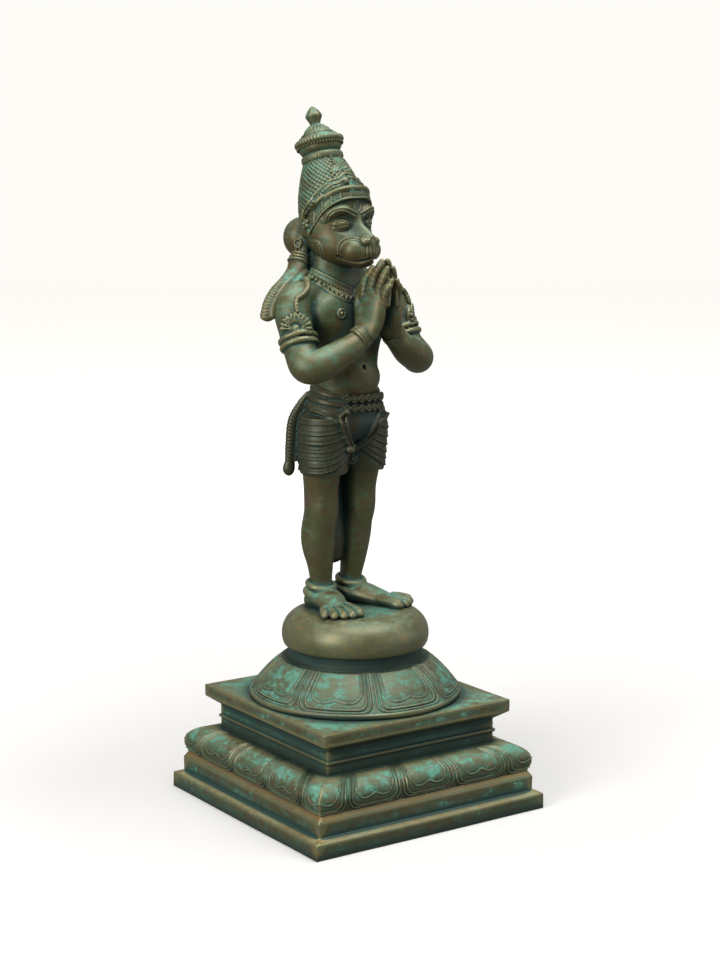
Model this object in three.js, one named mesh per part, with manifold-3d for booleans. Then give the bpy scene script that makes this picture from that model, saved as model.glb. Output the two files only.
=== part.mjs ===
// A bronze monkey-headed devotee in a tall crown, standing with joined palms.
// The figure and the round lotus under its feet are one casting. A stepped square plinth, cast by itself, carries it.
// Millimetres, +Z up, the plinth's front is toward -Y, and the origin is the middle of its underside.
import * as THREE from "three";
import { mergeVertices } from "three/addons/utils/BufferGeometryUtils.js";
import Module from "manifold-3d";

// Square plinth, from the ground up. Half-widths are from the middle to a flat side.
const plinthHalf = 90;
const footHeight = 10.3;
const stepInset = 5.5;
const stepSlope = 1.9;
const stepHeight = 9.7;
const bandInset = 2.8;
const bandSlope = 3.6;
const bandHeight = 18.5;
const bandSwell = 2;
const neckInset = 16;
const neckHeight = 16;
const neckBead = 1.2;
const slabBevel = 5;
const slabOverhang = 7.6;
const slabHeight = 8.4;
const bandPetals = 4;
const bandPetalRise = 1.3;

// Petals on the band and the lotus. Each takes this share of its pitch, and a petal's edge is a raised bevel.
const petalFill = 0.9;
const petalRoot = 0.78;
const petalShoulder = 0.72;
const petalBevel = 0.14;

// How far members cast in one run into each other.
const bury = 3;

// Round seat, from the plinth up: a downturned lotus, a waist and a smooth cushion.
const seatGap = 0.3;
const rimRadius = 70.6;
const rimLip = 4.5;
const lotusHeight = 20.5;
const lotusTopRadius = 48;
const waistHeight = 8.2;
const waistRadius = 45.6;
const cushionHeight = 23.6;
const cushionRadius = 48.8;
const lotusPetals = 8;
const lotusPetalTurn = 21.5;
const lotusPetalRise = 1.3;
const lotusSwell = 1.1;
const rimSoft = 1.2;
const cushionShoulder = 15;

// Figure, from sole to crown tip.
const figureHeight = 328;
const figureTurn = 8;
const figureShift = 2;

const patina = { color: 0x4c5b49, roughness: 0.55, metalness: 0.75 };

const wasm = await Module();
wasm.setup();

// A closed three.js geometry as a solid.
function solid(geometry) {
  const bare = geometry.index ? geometry.toNonIndexed() : geometry;
  const points = new THREE.BufferGeometry().setAttribute("position", bare.getAttribute("position"));
  const merged = mergeVertices(points, 1e-3);
  const mesh = new wasm.Mesh({
    numProp: 3,
    vertProperties: new Float32Array(merged.attributes.position.array),
    triVerts: new Uint32Array(merged.index.array),
  });
  return new wasm.Manifold(mesh);
}

function joined(solids) {
  return solids.reduce((whole, next) => whole.add(next));
}

function namedMesh(name, body, look) {
  const made = body.getMesh();
  const stride = made.numProp;
  const position = new Float32Array(made.numVert * 3);
  for (let i = 0; i < made.numVert; i++) {
    position.set(made.vertProperties.subarray(i * stride, i * stride + 3), i * 3);
  }
  const geometry = new THREE.BufferGeometry()
    .setAttribute("position", new THREE.BufferAttribute(position, 3))
    .setIndex(new THREE.BufferAttribute(made.triVerts, 1));
  geometry.computeVertexNormals();
  const mesh = new THREE.Mesh(geometry, new THREE.MeshStandardMaterial(look));
  mesh.name = name;
  return mesh;
}

function faceted(corners) {
  const positions = corners.flatMap((p) => p.toArray());
  return new THREE.BufferGeometry().setAttribute("position", new THREE.Float32BufferAttribute(positions, 3));
}

// Skins a stack of rings, each with the same number of points turning the same way, and closes both ends.
function skin(rings) {
  const count = rings[0].length;
  const corners = [];
  for (let k = 0; k + 1 < rings.length; k++) {
    for (let i = 0; i < count; i++) {
      const j = (i + 1) % count;
      corners.push(rings[k][i], rings[k][j], rings[k + 1][j], rings[k][i], rings[k + 1][j], rings[k + 1][i]);
    }
  }
  const middle = (ring) => ring.reduce((sum, p) => sum.add(p), new THREE.Vector3()).divideScalar(count);
  const first = rings[0];
  const last = rings[rings.length - 1];
  const low = middle(first);
  const high = middle(last);
  for (let i = 0; i < count; i++) {
    const j = (i + 1) % count;
    corners.push(low, first[j], first[i], high, last[i], last[j]);
  }
  return faceted(corners);
}

// A closed tube whose rings run round without ends.
function loopSkin(rings) {
  const corners = [];
  rings.forEach((ring, k) => {
    const next = rings[(k + 1) % rings.length];
    ring.forEach((p, i) => {
      const j = (i + 1) % ring.length;
      corners.push(p, next[i], next[j], p, next[j], ring[j]);
    });
  });
  return faceted(corners);
}

// An upright form in stations [y, z, a, b]: ellipses of half-widths a and b at height z, set back by y.
// Each may lean, rising by lean for each unit across and by pitch for each unit back.
function column(stations, sides, { x = 0, lean = 0, pitch = 0 } = {}) {
  return skin(
    stations.map(([y, z, a, b]) =>
      Array.from({ length: sides }, (_, i) => {
        const turn = (2 * Math.PI * i) / sides;
        const dx = a * Math.cos(turn);
        const dy = b * Math.sin(turn);
        return new THREE.Vector3(x + dx, y + dy, z + lean * dx + pitch * dy);
      })
    )
  );
}

// A round or flattened limb through stations [x, y, z, radius]. Its section is spread by flat along wide,
// and each of its bands [share of the way, half-length, thickness] is a ring standing out all round it.
function limb(stations, sides, steps, { wide = [1, 0, 0], flat = 1, bands = [] } = {}) {
  const path = new THREE.CatmullRomCurve3(stations.map(([x, y, z]) => new THREE.Vector3(x, y, z)));
  const radii = new THREE.SplineCurve(stations.map((s, i) => new THREE.Vector2(i, s[3])));
  const spread = new THREE.Vector3(...wide);
  const cuts = [];
  for (let k = 0; k <= steps; k++) {
    const t = k / steps;
    if (bands.every(([at, half]) => Math.abs(t - at) > half * 1.6)) cuts.push([t, 0]);
  }
  for (const [at, half, thick] of bands) {
    cuts.push([at - half * 1.15, 0], [at - half * 0.7, thick], [at + half * 0.7, thick], [at + half * 1.15, 0]);
  }
  cuts.sort((p, q) => p[0] - q[0]);
  return skin(
    cuts.map(([t, thick]) => {
      const centre = path.getPoint(t);
      const along = path.getTangent(t);
      const across = spread.clone().addScaledVector(along, -spread.dot(along)).normalize();
      const third = new THREE.Vector3().crossVectors(along, across);
      const radius = radii.getPoint(t).y + thick;
      return Array.from({ length: sides }, (_, i) => {
        const turn = (2 * Math.PI * i) / sides;
        return centre
          .clone()
          .addScaledVector(across, radius * flat * Math.cos(turn))
          .addScaledVector(third, radius * Math.sin(turn));
      });
    })
  );
}

function placed([x, y, z], tiltX = 0, tiltY = 0, turn = 0) {
  const rad = THREE.MathUtils.degToRad;
  const spin = new THREE.Euler(rad(tiltX), rad(tiltY), rad(turn), "ZYX");
  return new THREE.Matrix4().makeRotationFromEuler(spin).setPosition(x, y, z);
}

// An ellipsoid with half-axes a, b, c.
function ball(centre, [a, b, c], { sides = 9, tiltX = 0, turn = 0 } = {}) {
  const shape = new THREE.SphereGeometry(1, sides, Math.round(sides * 0.6));
  return shape
    .rotateX(Math.PI / 2)
    .scale(a, b, c)
    .applyMatrix4(placed(centre, tiltX, 0, turn));
}

// A band round an ellipse of half-widths a and b, thick across and tall along its axis.
function hoop([a, b], thick, tall, place, sides = 12) {
  const section = 4;
  return loopSkin(
    Array.from({ length: sides }, (_, i) => {
      const turn = (2 * Math.PI * i) / sides;
      return Array.from({ length: section }, (_, k) => {
        const round = (2 * Math.PI * k) / section;
        const out = thick * Math.cos(round);
        return new THREE.Vector3(
          (a + out) * Math.cos(turn),
          (b + out) * Math.sin(turn),
          tall * Math.sin(round)
        ).applyMatrix4(place);
      });
    })
  );
}

// A turned form: profile points [radius, height], from the axis back to the axis.
function turned(profile, sides) {
  const outline = profile.map(([r, z]) => new THREE.Vector2(r, z));
  return new THREE.LatheGeometry(outline, sides).rotateX(Math.PI / 2);
}

function arcPoints(x, y, radiusX, radiusY, start, end, count) {
  return Array.from({ length: count + 1 }, (_, i) => {
    const turn = THREE.MathUtils.degToRad(start + ((end - start) * i) / count);
    return [x + radiusX * Math.cos(turn), y + radiusY * Math.sin(turn)];
  });
}

// Both sides of the body: make gets -1 for the figure's right and 1 for its left.
function pair(make) {
  return [-1, 1].flatMap((side) => make(side));
}

// A square form: profile points [half-width, height] from the ground up.
function squareStack(profile) {
  const corner = [[-1, -1], [1, -1], [1, 1], [-1, 1]];
  return skin(profile.map(([half, z]) => corner.map(([x, y]) => new THREE.Vector3(x * half, y * half, z))));
}

// Heights of the plinth's members.
const stepFoot = footHeight + stepSlope;
const stepTop = stepFoot + stepHeight;
const bandFoot = stepTop + bandSlope;
const bandTop = bandFoot + bandHeight;
const neckTop = bandTop + neckHeight;
const slabFoot = neckTop + slabBevel;
const slabTop = slabFoot + slabHeight;
const stepHalf = plinthHalf - stepInset;
const bandHalf = stepHalf - bandInset;
const neckHalf = bandHalf - neckInset;
const slabHalf = neckHalf + slabOverhang;

// The band's half-width at a share of its height: a full belly low down, drawn in to the neck above.
function bandReach(share) {
  const belly = 0.4;
  if (share < belly) return bandHalf + bandSwell * Math.sin((Math.PI / 2) * (share / belly));
  const rise = (share - belly) / (1 - belly);
  return neckHalf + (bandHalf + bandSwell - neckHalf) * Math.sqrt(Math.max(0, 1 - rise ** 2));
}

// Places along a petal where its carving turns, from its root at 0 to its blunt tip.
const petalShares = [0, 0.06, petalShoulder, 0.9, 0.97];

// Half-width of a petal, as a share of its widest, from its root at 0 to its blunt tip at 1.
function petalSpread(share) {
  if (share < petalShoulder) return petalRoot + ((1 - petalRoot) * share) / petalShoulder;
  const tip = (share - petalShoulder) / (1 - petalShoulder);
  const blunt = 3;
  return Math.max(0, 1 - tip ** blunt) ** (1 / blunt);
}

// One row of points across a run of petals. Each petal has an outer and an inner edge on either side, and its
// face is in parts pieces across. point(across, lift) places a point, in the same unit as middles and half.
function petalRow(middles, half, share, rise, parts, point) {
  const reach = half * petalSpread(share);
  const inside = share > petalShares[0] && share < petalShares[petalShares.length - 1];
  const bevel = Math.min(half * petalBevel, reach * 0.3);
  const lift = inside ? rise : 0;
  const face = Array.from({ length: parts + 1 }, (_, i) => (reach - bevel) * ((2 * i) / parts - 1));
  return middles.flatMap((middle) => [
    point(middle - reach, 0),
    ...face.map((across) => point(middle + across, lift)),
    point(middle + reach, 0),
  ]);
}

function squarePlinth() {
  const pitch = (2 * bandHalf) / bandPetals;
  const petalHalf = (pitch * petalFill) / 2;
  const petalTop = 0.88;
  const petalLow = 0.08;
  const middles = Array.from({ length: bandPetals - 1 }, (_, i) => -bandHalf + (i + 1) * pitch);
  const ring = (half, z, share = 0, rise = 0) => {
    const points = [];
    for (let face = 0; face < 4; face++) {
      const place = (x, y) => new THREE.Vector3(x, y, z).applyAxisAngle(new THREE.Vector3(0, 0, 1), (face * Math.PI) / 2);
      points.push(place(-half, -half));
      points.push(...petalRow(middles, petalHalf, share, rise, 1, (across, lift) => place(across, -half - lift)));
    }
    return points;
  };
  const band = petalShares.map((share) => {
    const height = petalTop + (petalLow - petalTop) * share;
    return ring(bandReach(height), bandFoot + bandHeight * height, share, bandPetalRise);
  });
  const carved = skin([
    ring(bandHalf, bandFoot),
    ...band.reverse(),
    ring(neckHalf, bandTop),
  ]);
  const neckMiddle = bandTop + neckHeight / 2;
  const foot = squareStack([
    [plinthHalf, 0],
    [plinthHalf, footHeight],
    [stepHalf, stepFoot],
    [stepHalf, stepTop],
    [bandHalf, bandFoot],
    [bandHalf - bury, bandFoot + bury / 3],
  ]);
  const head = squareStack([
    [neckHalf - bury, bandTop - bury],
    [neckHalf, bandTop],
    [neckHalf, neckMiddle - neckBead],
    [neckHalf + neckBead, neckMiddle],
    [neckHalf, neckMiddle + neckBead],
    [neckHalf, neckTop],
    [slabHalf, slabFoot],
    [slabHalf, slabTop],
  ]);
  return joined([foot, carved, head].map(solid));
}

// Heights of the seat's members. The seat stands on the plinth's slab.
const rimFoot = slabTop + seatGap;
const rimTop = rimFoot + rimLip;
const lotusTop = rimTop + lotusHeight;
const cushionFoot = lotusTop + waistHeight;
const seatTop = cushionFoot + cushionHeight;

// The lotus slopes from its rim up to the waist in a slightly swelling line.
function lotusBed(share) {
  const swell = lotusSwell * Math.sin(Math.PI * share);
  const radius = lotusTopRadius + (rimRadius - rimSoft - lotusTopRadius) * share;
  return [radius + swell * 0.65, lotusTop - lotusHeight * share + swell];
}

function roundSeat() {
  const rad = THREE.MathUtils.degToRad;
  const pitch = 360 / lotusPetals;
  const middles = Array.from({ length: lotusPetals }, (_, i) => rad(lotusPetalTurn + (i + 0.5) * pitch));
  const petalHalf = rad(pitch * petalFill) / 2;
  const ring = (radius, z, share = 0, rise = 0) =>
    petalRow(middles, petalHalf, share, rise, 3, (turn, lift) => {
      const out = radius + lift * 0.7;
      return new THREE.Vector3(out * Math.cos(turn), out * Math.sin(turn), z + lift * 0.7);
    });
  const bell = skin([
    ring(rimRadius - rimSoft, rimFoot),
    ring(rimRadius, rimFoot + rimSoft),
    ...petalShares.map((share) => ring(...lotusBed(0.03 + 0.97 * share), share, lotusPetalRise)).reverse(),
    ring(lotusTopRadius, lotusTop),
  ]);
  const edge = cushionHeight * 0.3;
  const shoulder = cushionHeight - edge;
  const cushion = turned(
    [
      [0, lotusTop - bury],
      [waistRadius, lotusTop - bury],
      [waistRadius, cushionFoot],
      ...arcPoints(waistRadius, cushionFoot + edge, cushionRadius - waistRadius, edge, -45, 0, 1),
      ...arcPoints(cushionRadius - cushionShoulder, seatTop - shoulder, cushionShoulder, shoulder, 22, 90, 3),
      [0, seatTop],
    ],
    24
  );
  return solid(bell).add(solid(cushion));
}

// Legs: bare from the cloth's hem to the two anklets.
function legs() {
  return pair((side) =>
    limb(
      [
        [side * 16, 14, 128, 14],
        [side * 17.6, 15.5, 100, 13.2],
        [side * 17, 17, 82, 11.6],
        [side * 16, 19, 62, 10.6],
        [side * 15.4, 20.6, 46, 10.8],
        [side * 14.4, 20.4, 31, 8.8],
        [side * 13.4, 21.2, 18, 7.5],
        [side * 13.2, 21.8, 8, 7.8],
        [side * 13.4, 22.4, -1, 8.2],
      ],
      8,
      8,
      { bands: [[0.85, 0.013, 1.9], [0.89, 0.014, 2.4]] }
    )
  );
}

// A foot: a wedge from the heel to the ball, and five toes fanned out from it.
function feet() {
  const toes = [
    [[15.5, -7], [17.6, -22.5], 4.3],
    [[20.5, -7.5], [24.2, -22.8], 3.3],
    [[25, -6.5], [30.2, -20.2], 3.1],
    [[29, -4.5], [35.8, -15.8], 2.9],
    [[32, -1], [40.2, -9.8], 2.7],
  ];
  return pair((side) => [
    limb(
      [
        [side * 13, 29.5, 2.2, 4],
        [side * 13.2, 24, 4, 7.4],
        [side * 15.2, 13, 5.2, 7.2],
        [side * 19, 2, 3.4, 6.4],
        [side * 22.5, -6.5, 1.6, 5],
        [side * 24, -10, 1, 3.6],
      ],
      8,
      5,
      { wide: [1, 0.3 * side, 0], flat: 1.5 }
    ),
    ...toes.map(([root, tip, thick]) =>
      limb(
        [
          [side * root[0], root[1], 3, thick],
          [(side * (root[0] + tip[0])) / 2, (root[1] + tip[1]) / 2, 2.6, thick],
          [side * tip[0], tip[1], 1.2, thick * 0.62],
        ],
        5,
        2
      )
    ),
  ]);
}

function torso() {
  return [
    column(
      [
        [12, 132, 26, 20.5],
        [10.2, 150, 21.5, 18.6],
        [10, 160, 21.3, 18],
        [11, 170, 24, 17.5],
        [12, 180, 28.5, 18],
        [13.2, 190, 33, 18.4],
        [15, 199, 35.5, 17.4],
        [17, 206, 34, 15.5],
        [18.6, 212, 26.5, 14.4],
        [19.4, 218, 21.4, 13.4],
        [20, 224, 18.4, 12.6],
        [20, 231, 17, 12.2],
      ],
      12
    ),
    ...pair((side) => ball([side * 14.5, 3.6, 196], [13, 8, 10.5], { sides: 8 })),
    hoop([23.6, 17.6], 2.4, 4, placed([0, 17, 213.6], 27), 14),
  ];
}

// Arms: bent at the elbow, with a double armlet and its rosette, and a bracelet at each wrist.
function arms() {
  return pair((side) => [
    limb(
      [
        [side * 26, 17, 206, 9],
        [side * 37.4, 17.2, 205, 11],
        [side * 43, 14.6, 198.4, 11.6],
        [side * 44.6, 9.4, 186, 11],
        [side * 46.4, 2.6, 173, 10.6],
        [side * 48, -5.4, 164.8, 10.8],
        [side * 42, -11, 165.6, 10.4],
        [side * 32, -13.6, 170, 9.6],
        [side * 22.5, -16.8, 175.6, 8.2],
        [side * 14.6, -18.6, 181, 7],
        [side * 10.4, -20, 187, 6.6],
      ],
      8,
      11,
      { bands: [[0.328, 0.026, 1.7], [0.84, 0.03, 1.5]] }
    ),
    ball([side * 50.6, 0.6, 188.4], [7.6, 3.2, 7.6], { sides: 8, turn: side * 48 }),
  ]);
}

// Joined palms: each hand is a flat palm with a thumb and four fingers.
function hands() {
  const fingers = [
    [-13.5, 226.5, 3.3],
    [-20, 231.6, 3.5],
    [-26.4, 226.8, 3.4],
    [-32, 219.4, 3],
  ];
  return pair((side) => [
    limb(
      [
        [side * 11.5, -19.5, 184, 6.4],
        [side * 8.6, -21, 192, 7.6],
        [side * 7, -22.4, 201, 8.4],
        [side * 5.4, -22.6, 213, 7.4],
      ],
      7,
      3,
      { wide: [0, 1, 0], flat: 1.5 }
    ),
    ...fingers.map(([y, tip, thick]) =>
      limb(
        [
          [side * 6, y, 207, thick],
          [side * 4.6, y, (207 + tip) / 2, thick * 1.04],
          [side * 3.2, y + 1, tip, thick * 0.5],
        ],
        5,
        2
      )
    ),
    limb(
      [
        [side * 8, -14, 190, 4.2],
        [side * 5.6, -8.6, 199, 3.7],
        [side * 3.6, -8.4, 214, 2],
      ],
      5,
      3
    ),
  ]);
}

function head() {
  return [
    ball([0, 21.5, 252], [23.5, 23, 22], { sides: 11 }),
    ball([0, 14, 240], [20.5, 19, 16], { sides: 8 }),
    ball([0, 2, 235.6], [11.6, 13.4, 9.6], { sides: 8, tiltX: 8 }),
    limb(
      [
        [0, 3, 258, 5],
        [0, -3.4, 252, 5],
        [0, -11, 247.4, 5],
        [0, -18.2, 241.4, 2.4],
      ],
      6,
      3,
      { flat: 1.1 }
    ),
    ...pair((side) => [
      ball([side * 7.8, -4.6, 236.4], [7, 7.4, 8], { sides: 8, turn: side * 24 }),
      limb(
        [
          [side * 1.5, -0.5, 258.5, 1.4],
          [side * 8.5, 0.6, 263, 2.6],
          [side * 15.5, 5.4, 260.6, 2.4],
          [side * 20, 12.6, 254.6, 1.4],
        ],
        4,
        4
      ),
      ball([side * 10.2, 3, 252], [5.2, 3.2, 3], { sides: 6, turn: side * 28 }),
      ball([side * 19.6, 32.6, 238], [3.6, 5, 8.6], { sides: 5, turn: side * -28 }),
    ]),
    ball([0, 53.4, 242.4], [14, 12.5, 13.8], { sides: 8 }),
  ];
}

// Locks of hair: bound behind each ear, falling over the shoulders, and a curl before each shoulder.
function hair() {
  return pair((side) => [
    limb(
      [
        [side * 19, 32, 240, 5.2],
        [side * 21, 32, 229, 5.6],
        [side * 26.6, 30, 221, 3.4],
        [side * 35, 27.6, 215.8, 2.5],
        [side * 44, 26.6, 210, 2.3],
        [side * 50.4, 25.8, 203.4, 2.3],
        [side * 53, 25, 196, 2.2],
        [side * 53.4, 24.2, 189.6, 1.8],
      ],
      5,
      7,
      { wide: [side * 0.74, 0.67, 0], flat: 1.9, bands: [[0.16, 0.02, 1.2]] }
    ),
    limb(
      [
        [side * 30, 9.5, 216, 1.6],
        [side * 34.4, 2.6, 209, 3],
        [side * 38.6, 2, 202, 2.7],
        [side * 43.4, 2.2, 193.6, 1.6],
      ],
      5,
      4
    ),
  ]);
}

// Crown: a drum of lattice work on a swept headband, drawn up to a ribbed knob and a bud.
function crown() {
  const shaft = turned(
    [
      [0, -4],
      [22.2, -4],
      [22.6, 6],
      [20, 17],
      [16.4, 28],
      [12.6, 36.6],
      [13.8, 37.6],
      [13.8, 40.6],
      [11.4, 41.4],
      [14, 44.4],
      [14.2, 47.2],
      [16.1, 49],
      [15.2, 51.4],
      [9.6, 54.6],
      [3.2, 62.4],
      [5.7, 67.2],
      [5, 69.4],
      [0.6, 74.2],
      [0, 74.3],
    ],
    12
  );
  return [
    shaft.applyMatrix4(placed([0, 22.4, 257], -17.4)),
    hoop([23, 26.4], 1.6, 4.2, placed([0, 22.6, 255.2], -35), 12),
    hoop([21.4, 23.6], 1.8, 3.6, placed([0, 23.6, 264.6], -32), 10),
    ...pair((side) =>
      limb(
        [
          [side * 22.6, 25, 261, 1.6],
          [side * 18, 12.6, 274, 1.9],
          [side * 9, 9.6, 281, 2],
          [side * 0.4, 11.2, 286, 2],
        ],
        5,
        3
      )
    ),
    ball([0, 10.6, 280.6], [4.4, 3, 4.4], { sides: 6 }),
  ];
}

// The short cloth: two pleated thighs, the hips, and rolls of cloth round the waist.
function cloth() {
  const pleats = 5;
  const hem = 91;
  const top = 126;
  const thigh = (side) => {
    const step = (top - hem) / pleats;
    const stations = Array.from({ length: pleats }, (_, i) => {
      const share = i / pleats;
      const swell = 15.2 + 2.2 * Math.sin((Math.PI / 2) * share);
      const y = 15.2 - 1.4 * share;
      const z = hem + i * step;
      return [
        [y, z, swell, swell * 1.04],
        [y, z + step * 0.8, swell - 1.2, swell * 1.04 - 1.2],
      ];
    }).flat();
    return column(stations, 9, { x: side * 16.4, lean: side * -0.2, pitch: 0.04 });
  };
  const rolls = 3;
  const rollFoot = 124.5;
  const rollStep = 6;
  const waist = Array.from({ length: rolls }, (_, i) => {
    const z = rollFoot + i * rollStep;
    const a = 30.6 - i * 1.9;
    const b = 23.6 - i * 1.2;
    return [
      [12.6, z, a - 2, b - 2],
      [12.6, z + rollStep * 0.3, a, b],
      [12.6, z + rollStep * 0.7, a - 0.4, b - 0.4],
    ];
  }).flat();
  const hips = [
    [14, 114, 25, 15],
    [13, 121, 30.4, 20],
    ...waist,
    [12, rollFoot + rolls * rollStep, 23, 18.6],
  ];
  return [...pair(thigh), column(hips, 11, { pitch: 0.1 })];
}

// Sash: loops slung from the hips to a knot at the front, ends hanging behind the hips, a fall behind the knees.
function sash() {
  return [
    ...pair((side) => [
      limb(
        [
          [side * 21.6, -2.6, 129, 1.8],
          [side * 15.4, -3.4, 121.5, 2],
          [side * 9, -1, 113.6, 2],
          [side * 2.4, 3.6, 107.4, 2.2],
        ],
        4,
        4
      ),
      limb(
        [
          [side * 22, 24, 142, 2.4],
          [side * 26.6, 28, 132, 3.4],
          [side * 29.6, 31, 119, 3.7],
          [side * 30, 32, 105, 3.7],
          [side * 30, 32.6, 97, 3.7],
          [side * 31.6, 33.4, 91.6, 4.2],
        ],
        5,
        5,
        { wide: [0.5, -side * 0.8, 0], flat: 0.8 }
      ),
    ]),
    ball([0, 5.6, 104.6], [5, 5, 7], { sides: 7 }),
    ball([0, -8.6, 138.4], [13, 3.4, 6.4], { sides: 7 }),
    limb(
      [
        [0, 28, 122, 6.5],
        [0, 30, 104, 7.2],
        [0, 28, 82, 7.6],
        [0, 26.6, 56, 7.6],
        [0, 25, 29, 6.6],
      ],
      6,
      4,
      { flat: 1.5 }
    ),
  ];
}

// Stands the carved parts on the cushion. Their pose and carving are written for carvedHeight, soles at z = 0,
// face toward -Y and right hand at -X. The heels sink in the cushion a little, as one casting with it.
function figure() {
  const carvedHeight = 328;
  const size = figureHeight / carvedHeight;
  const turn = THREE.MathUtils.degToRad(figureTurn);
  const stand = new THREE.Matrix4()
    .makeRotationZ(turn)
    .scale(new THREE.Vector3(size, size, size))
    .setPosition(figureShift, 0, seatTop);
  const parts = [legs, feet, torso, arms, hands, head, hair, crown, cloth, sash].flatMap((make) => make());
  return joined(parts.map((part) => solid(part.applyMatrix4(stand))));
}

const group = new THREE.Group();
group.add(namedMesh("square_plinth", squarePlinth(), patina));
group.add(namedMesh("hanuman_on_lotus", roundSeat().add(figure()), patina));

export default group;
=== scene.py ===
import math

import bpy
import numpy as np
import openvdb
from mathutils import Matrix, Vector


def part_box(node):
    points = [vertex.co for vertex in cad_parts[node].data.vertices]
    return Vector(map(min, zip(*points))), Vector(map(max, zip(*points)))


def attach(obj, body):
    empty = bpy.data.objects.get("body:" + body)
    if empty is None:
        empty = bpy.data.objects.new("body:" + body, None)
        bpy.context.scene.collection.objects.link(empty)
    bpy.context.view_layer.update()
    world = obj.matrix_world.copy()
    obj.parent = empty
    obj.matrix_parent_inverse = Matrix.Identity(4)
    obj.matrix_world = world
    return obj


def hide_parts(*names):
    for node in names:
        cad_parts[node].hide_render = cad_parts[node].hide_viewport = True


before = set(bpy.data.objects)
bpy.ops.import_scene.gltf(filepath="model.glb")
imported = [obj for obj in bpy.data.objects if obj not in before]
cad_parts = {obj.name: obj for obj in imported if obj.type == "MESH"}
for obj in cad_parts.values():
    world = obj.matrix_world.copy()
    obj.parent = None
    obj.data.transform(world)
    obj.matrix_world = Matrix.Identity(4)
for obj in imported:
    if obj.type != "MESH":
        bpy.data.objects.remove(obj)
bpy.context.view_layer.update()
MM = 0.001

# Camera: a long lens a little above the cushion, looking at the plinth's front left corner.
# It stands about 1.3 m away, as for a catalogue picture of a small bronze.
camera_data = bpy.data.cameras.new("camera")
camera_data.lens = 75
camera_data.clip_start, camera_data.clip_end = 0.05, 60
camera = bpy.data.objects.new("camera", camera_data)
camera.location = (-0.72908, -1.06838, 0.43772)
aim = Vector((0.0026, -0.0018, 0.21663))
camera.rotation_euler = (aim - camera.location).to_track_quat("-Z", "Y").to_euler()
bpy.context.scene.collection.objects.link(camera)
bpy.context.scene.camera = camera

# Studio: a warm white sweep of paper under and behind the bronze, lit by large soft boxes.
# The paper also glows by itself, faintly near the plinth and strongly far off, so that it reads white and
# only a soft shadow shows where the plinth stands.
bpy.context.scene.view_settings.view_transform = "Standard"


def soft_box(name, place, aim_at, size, power, tint=(1, 1, 1)):
    """A rectangular light turned to face a point, its size in metres and its power in watts."""
    data = bpy.data.lights.new(name, "AREA")
    data.shape = "RECTANGLE"
    data.size, data.size_y = size
    data.energy = power
    data.color = tint
    light = bpy.data.objects.new(name, data)
    light.location = place
    light.rotation_euler = (Vector(aim_at) - Vector(place)).to_track_quat("-Z", "Y").to_euler()
    bpy.context.scene.collection.objects.link(light)


soft_box("overhead", (0.1, -0.3, 1.7), (0, 0, 0.2), (1.3, 1.3), 34)
soft_box("window", (-1.6, -0.35, 0.9), (0, 0, 0.22), (0.8, 1.3), 27, (1, 0.99, 0.96))
soft_box("fill", (1.4, -1.1, 0.7), (0, 0, 0.2), (0.9, 1.1), 4.5, (0.96, 0.98, 1))

world = bpy.data.worlds.new("studio")
bpy.context.scene.world = world
world.use_nodes = True
world_light = world.node_tree.nodes["Background"]
world_light.inputs["Color"].default_value = (1, 0.99, 0.965, 1)
world_light.inputs["Strength"].default_value = 0.3


class Wire:
    """A socket in a node tree. Sums on it add Math nodes, and put() adds any other node."""

    def __init__(self, tree, socket=None):
        self.tree, self.socket = tree, socket

    def put(self, kind, settings=(), inputs=(), output=0):
        node = self.tree.nodes.new(kind)
        for key, value in dict(settings).items():
            setattr(node, key, value)
        for key, value in dict(inputs).items():
            if isinstance(value, Wire):
                self.tree.links.new(value.socket, node.inputs[key])
            else:
                node.inputs[key].default_value = value
        return Wire(self.tree, node.outputs[output])

    def sum(self, operation, first, second, clamp=False):
        settings = {"operation": operation, "use_clamp": clamp}
        return self.put("ShaderNodeMath", settings, {0: first, 1: second})

    def __add__(self, other):
        return self.sum("ADD", self, other)

    def __sub__(self, other):
        return self.sum("SUBTRACT", self, other)

    def __rsub__(self, other):
        return self.sum("SUBTRACT", other, self)

    def __mul__(self, other):
        return self.sum("MULTIPLY", self, other)

    def __truediv__(self, other):
        return self.sum("DIVIDE", self, other)

    __radd__ = __add__
    __rmul__ = __mul__

    def kept(self):
        """The same value, kept between 0 and 1."""
        return self.sum("ADD", self, 0.0, clamp=True)

    def between(self, low, high):
        """0 below low and 1 above high, with a soft step between."""
        settings = {"interpolation_type": "SMOOTHSTEP"}
        return self.put("ShaderNodeMapRange", settings, {"Value": self, "From Min": low, "From Max": high})

    def over(self, colour, other):
        """Mixes two colours, with this value as the share of the second."""
        return self.put("ShaderNodeMix", {"data_type": "RGBA"}, {0: self, 6: colour, 7: other}, output=2)


sweep_reach, sweep_rise, sweep_bend, sweep_steps = 6.0, 5.0, 1.6, 12
bend_start = sweep_reach - sweep_bend
sweep_line = [(-sweep_reach, 0.0)]
for step in range(sweep_steps + 1):
    turn = math.pi / 2 * step / sweep_steps
    sweep_line.append((bend_start + sweep_bend * math.sin(turn), sweep_bend * (1 - math.cos(turn))))
sweep_line.append((sweep_reach, sweep_rise))
from_camera = Vector((0.5657, 0.8246, 0))
over_view = Vector((0.8246, -0.5657, 0))
sweep_corners = []
for y, z in sweep_line:
    for x in (-sweep_reach, sweep_reach):
        sweep_corners.append(from_camera * y + over_view * x + Vector((0, 0, z)))
sweep_faces = [(2 * k + 1, 2 * k, 2 * k + 2, 2 * k + 3) for k in range(len(sweep_line) - 1)]
sweep_mesh = bpy.data.meshes.new("paper_sweep")
sweep_mesh.from_pydata(sweep_corners, [], sweep_faces)
sweep_mesh.shade_smooth()
sweep = bpy.data.objects.new("paper_sweep", sweep_mesh)
bpy.context.scene.collection.objects.link(sweep)
sweep.visible_diffuse = False
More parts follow.
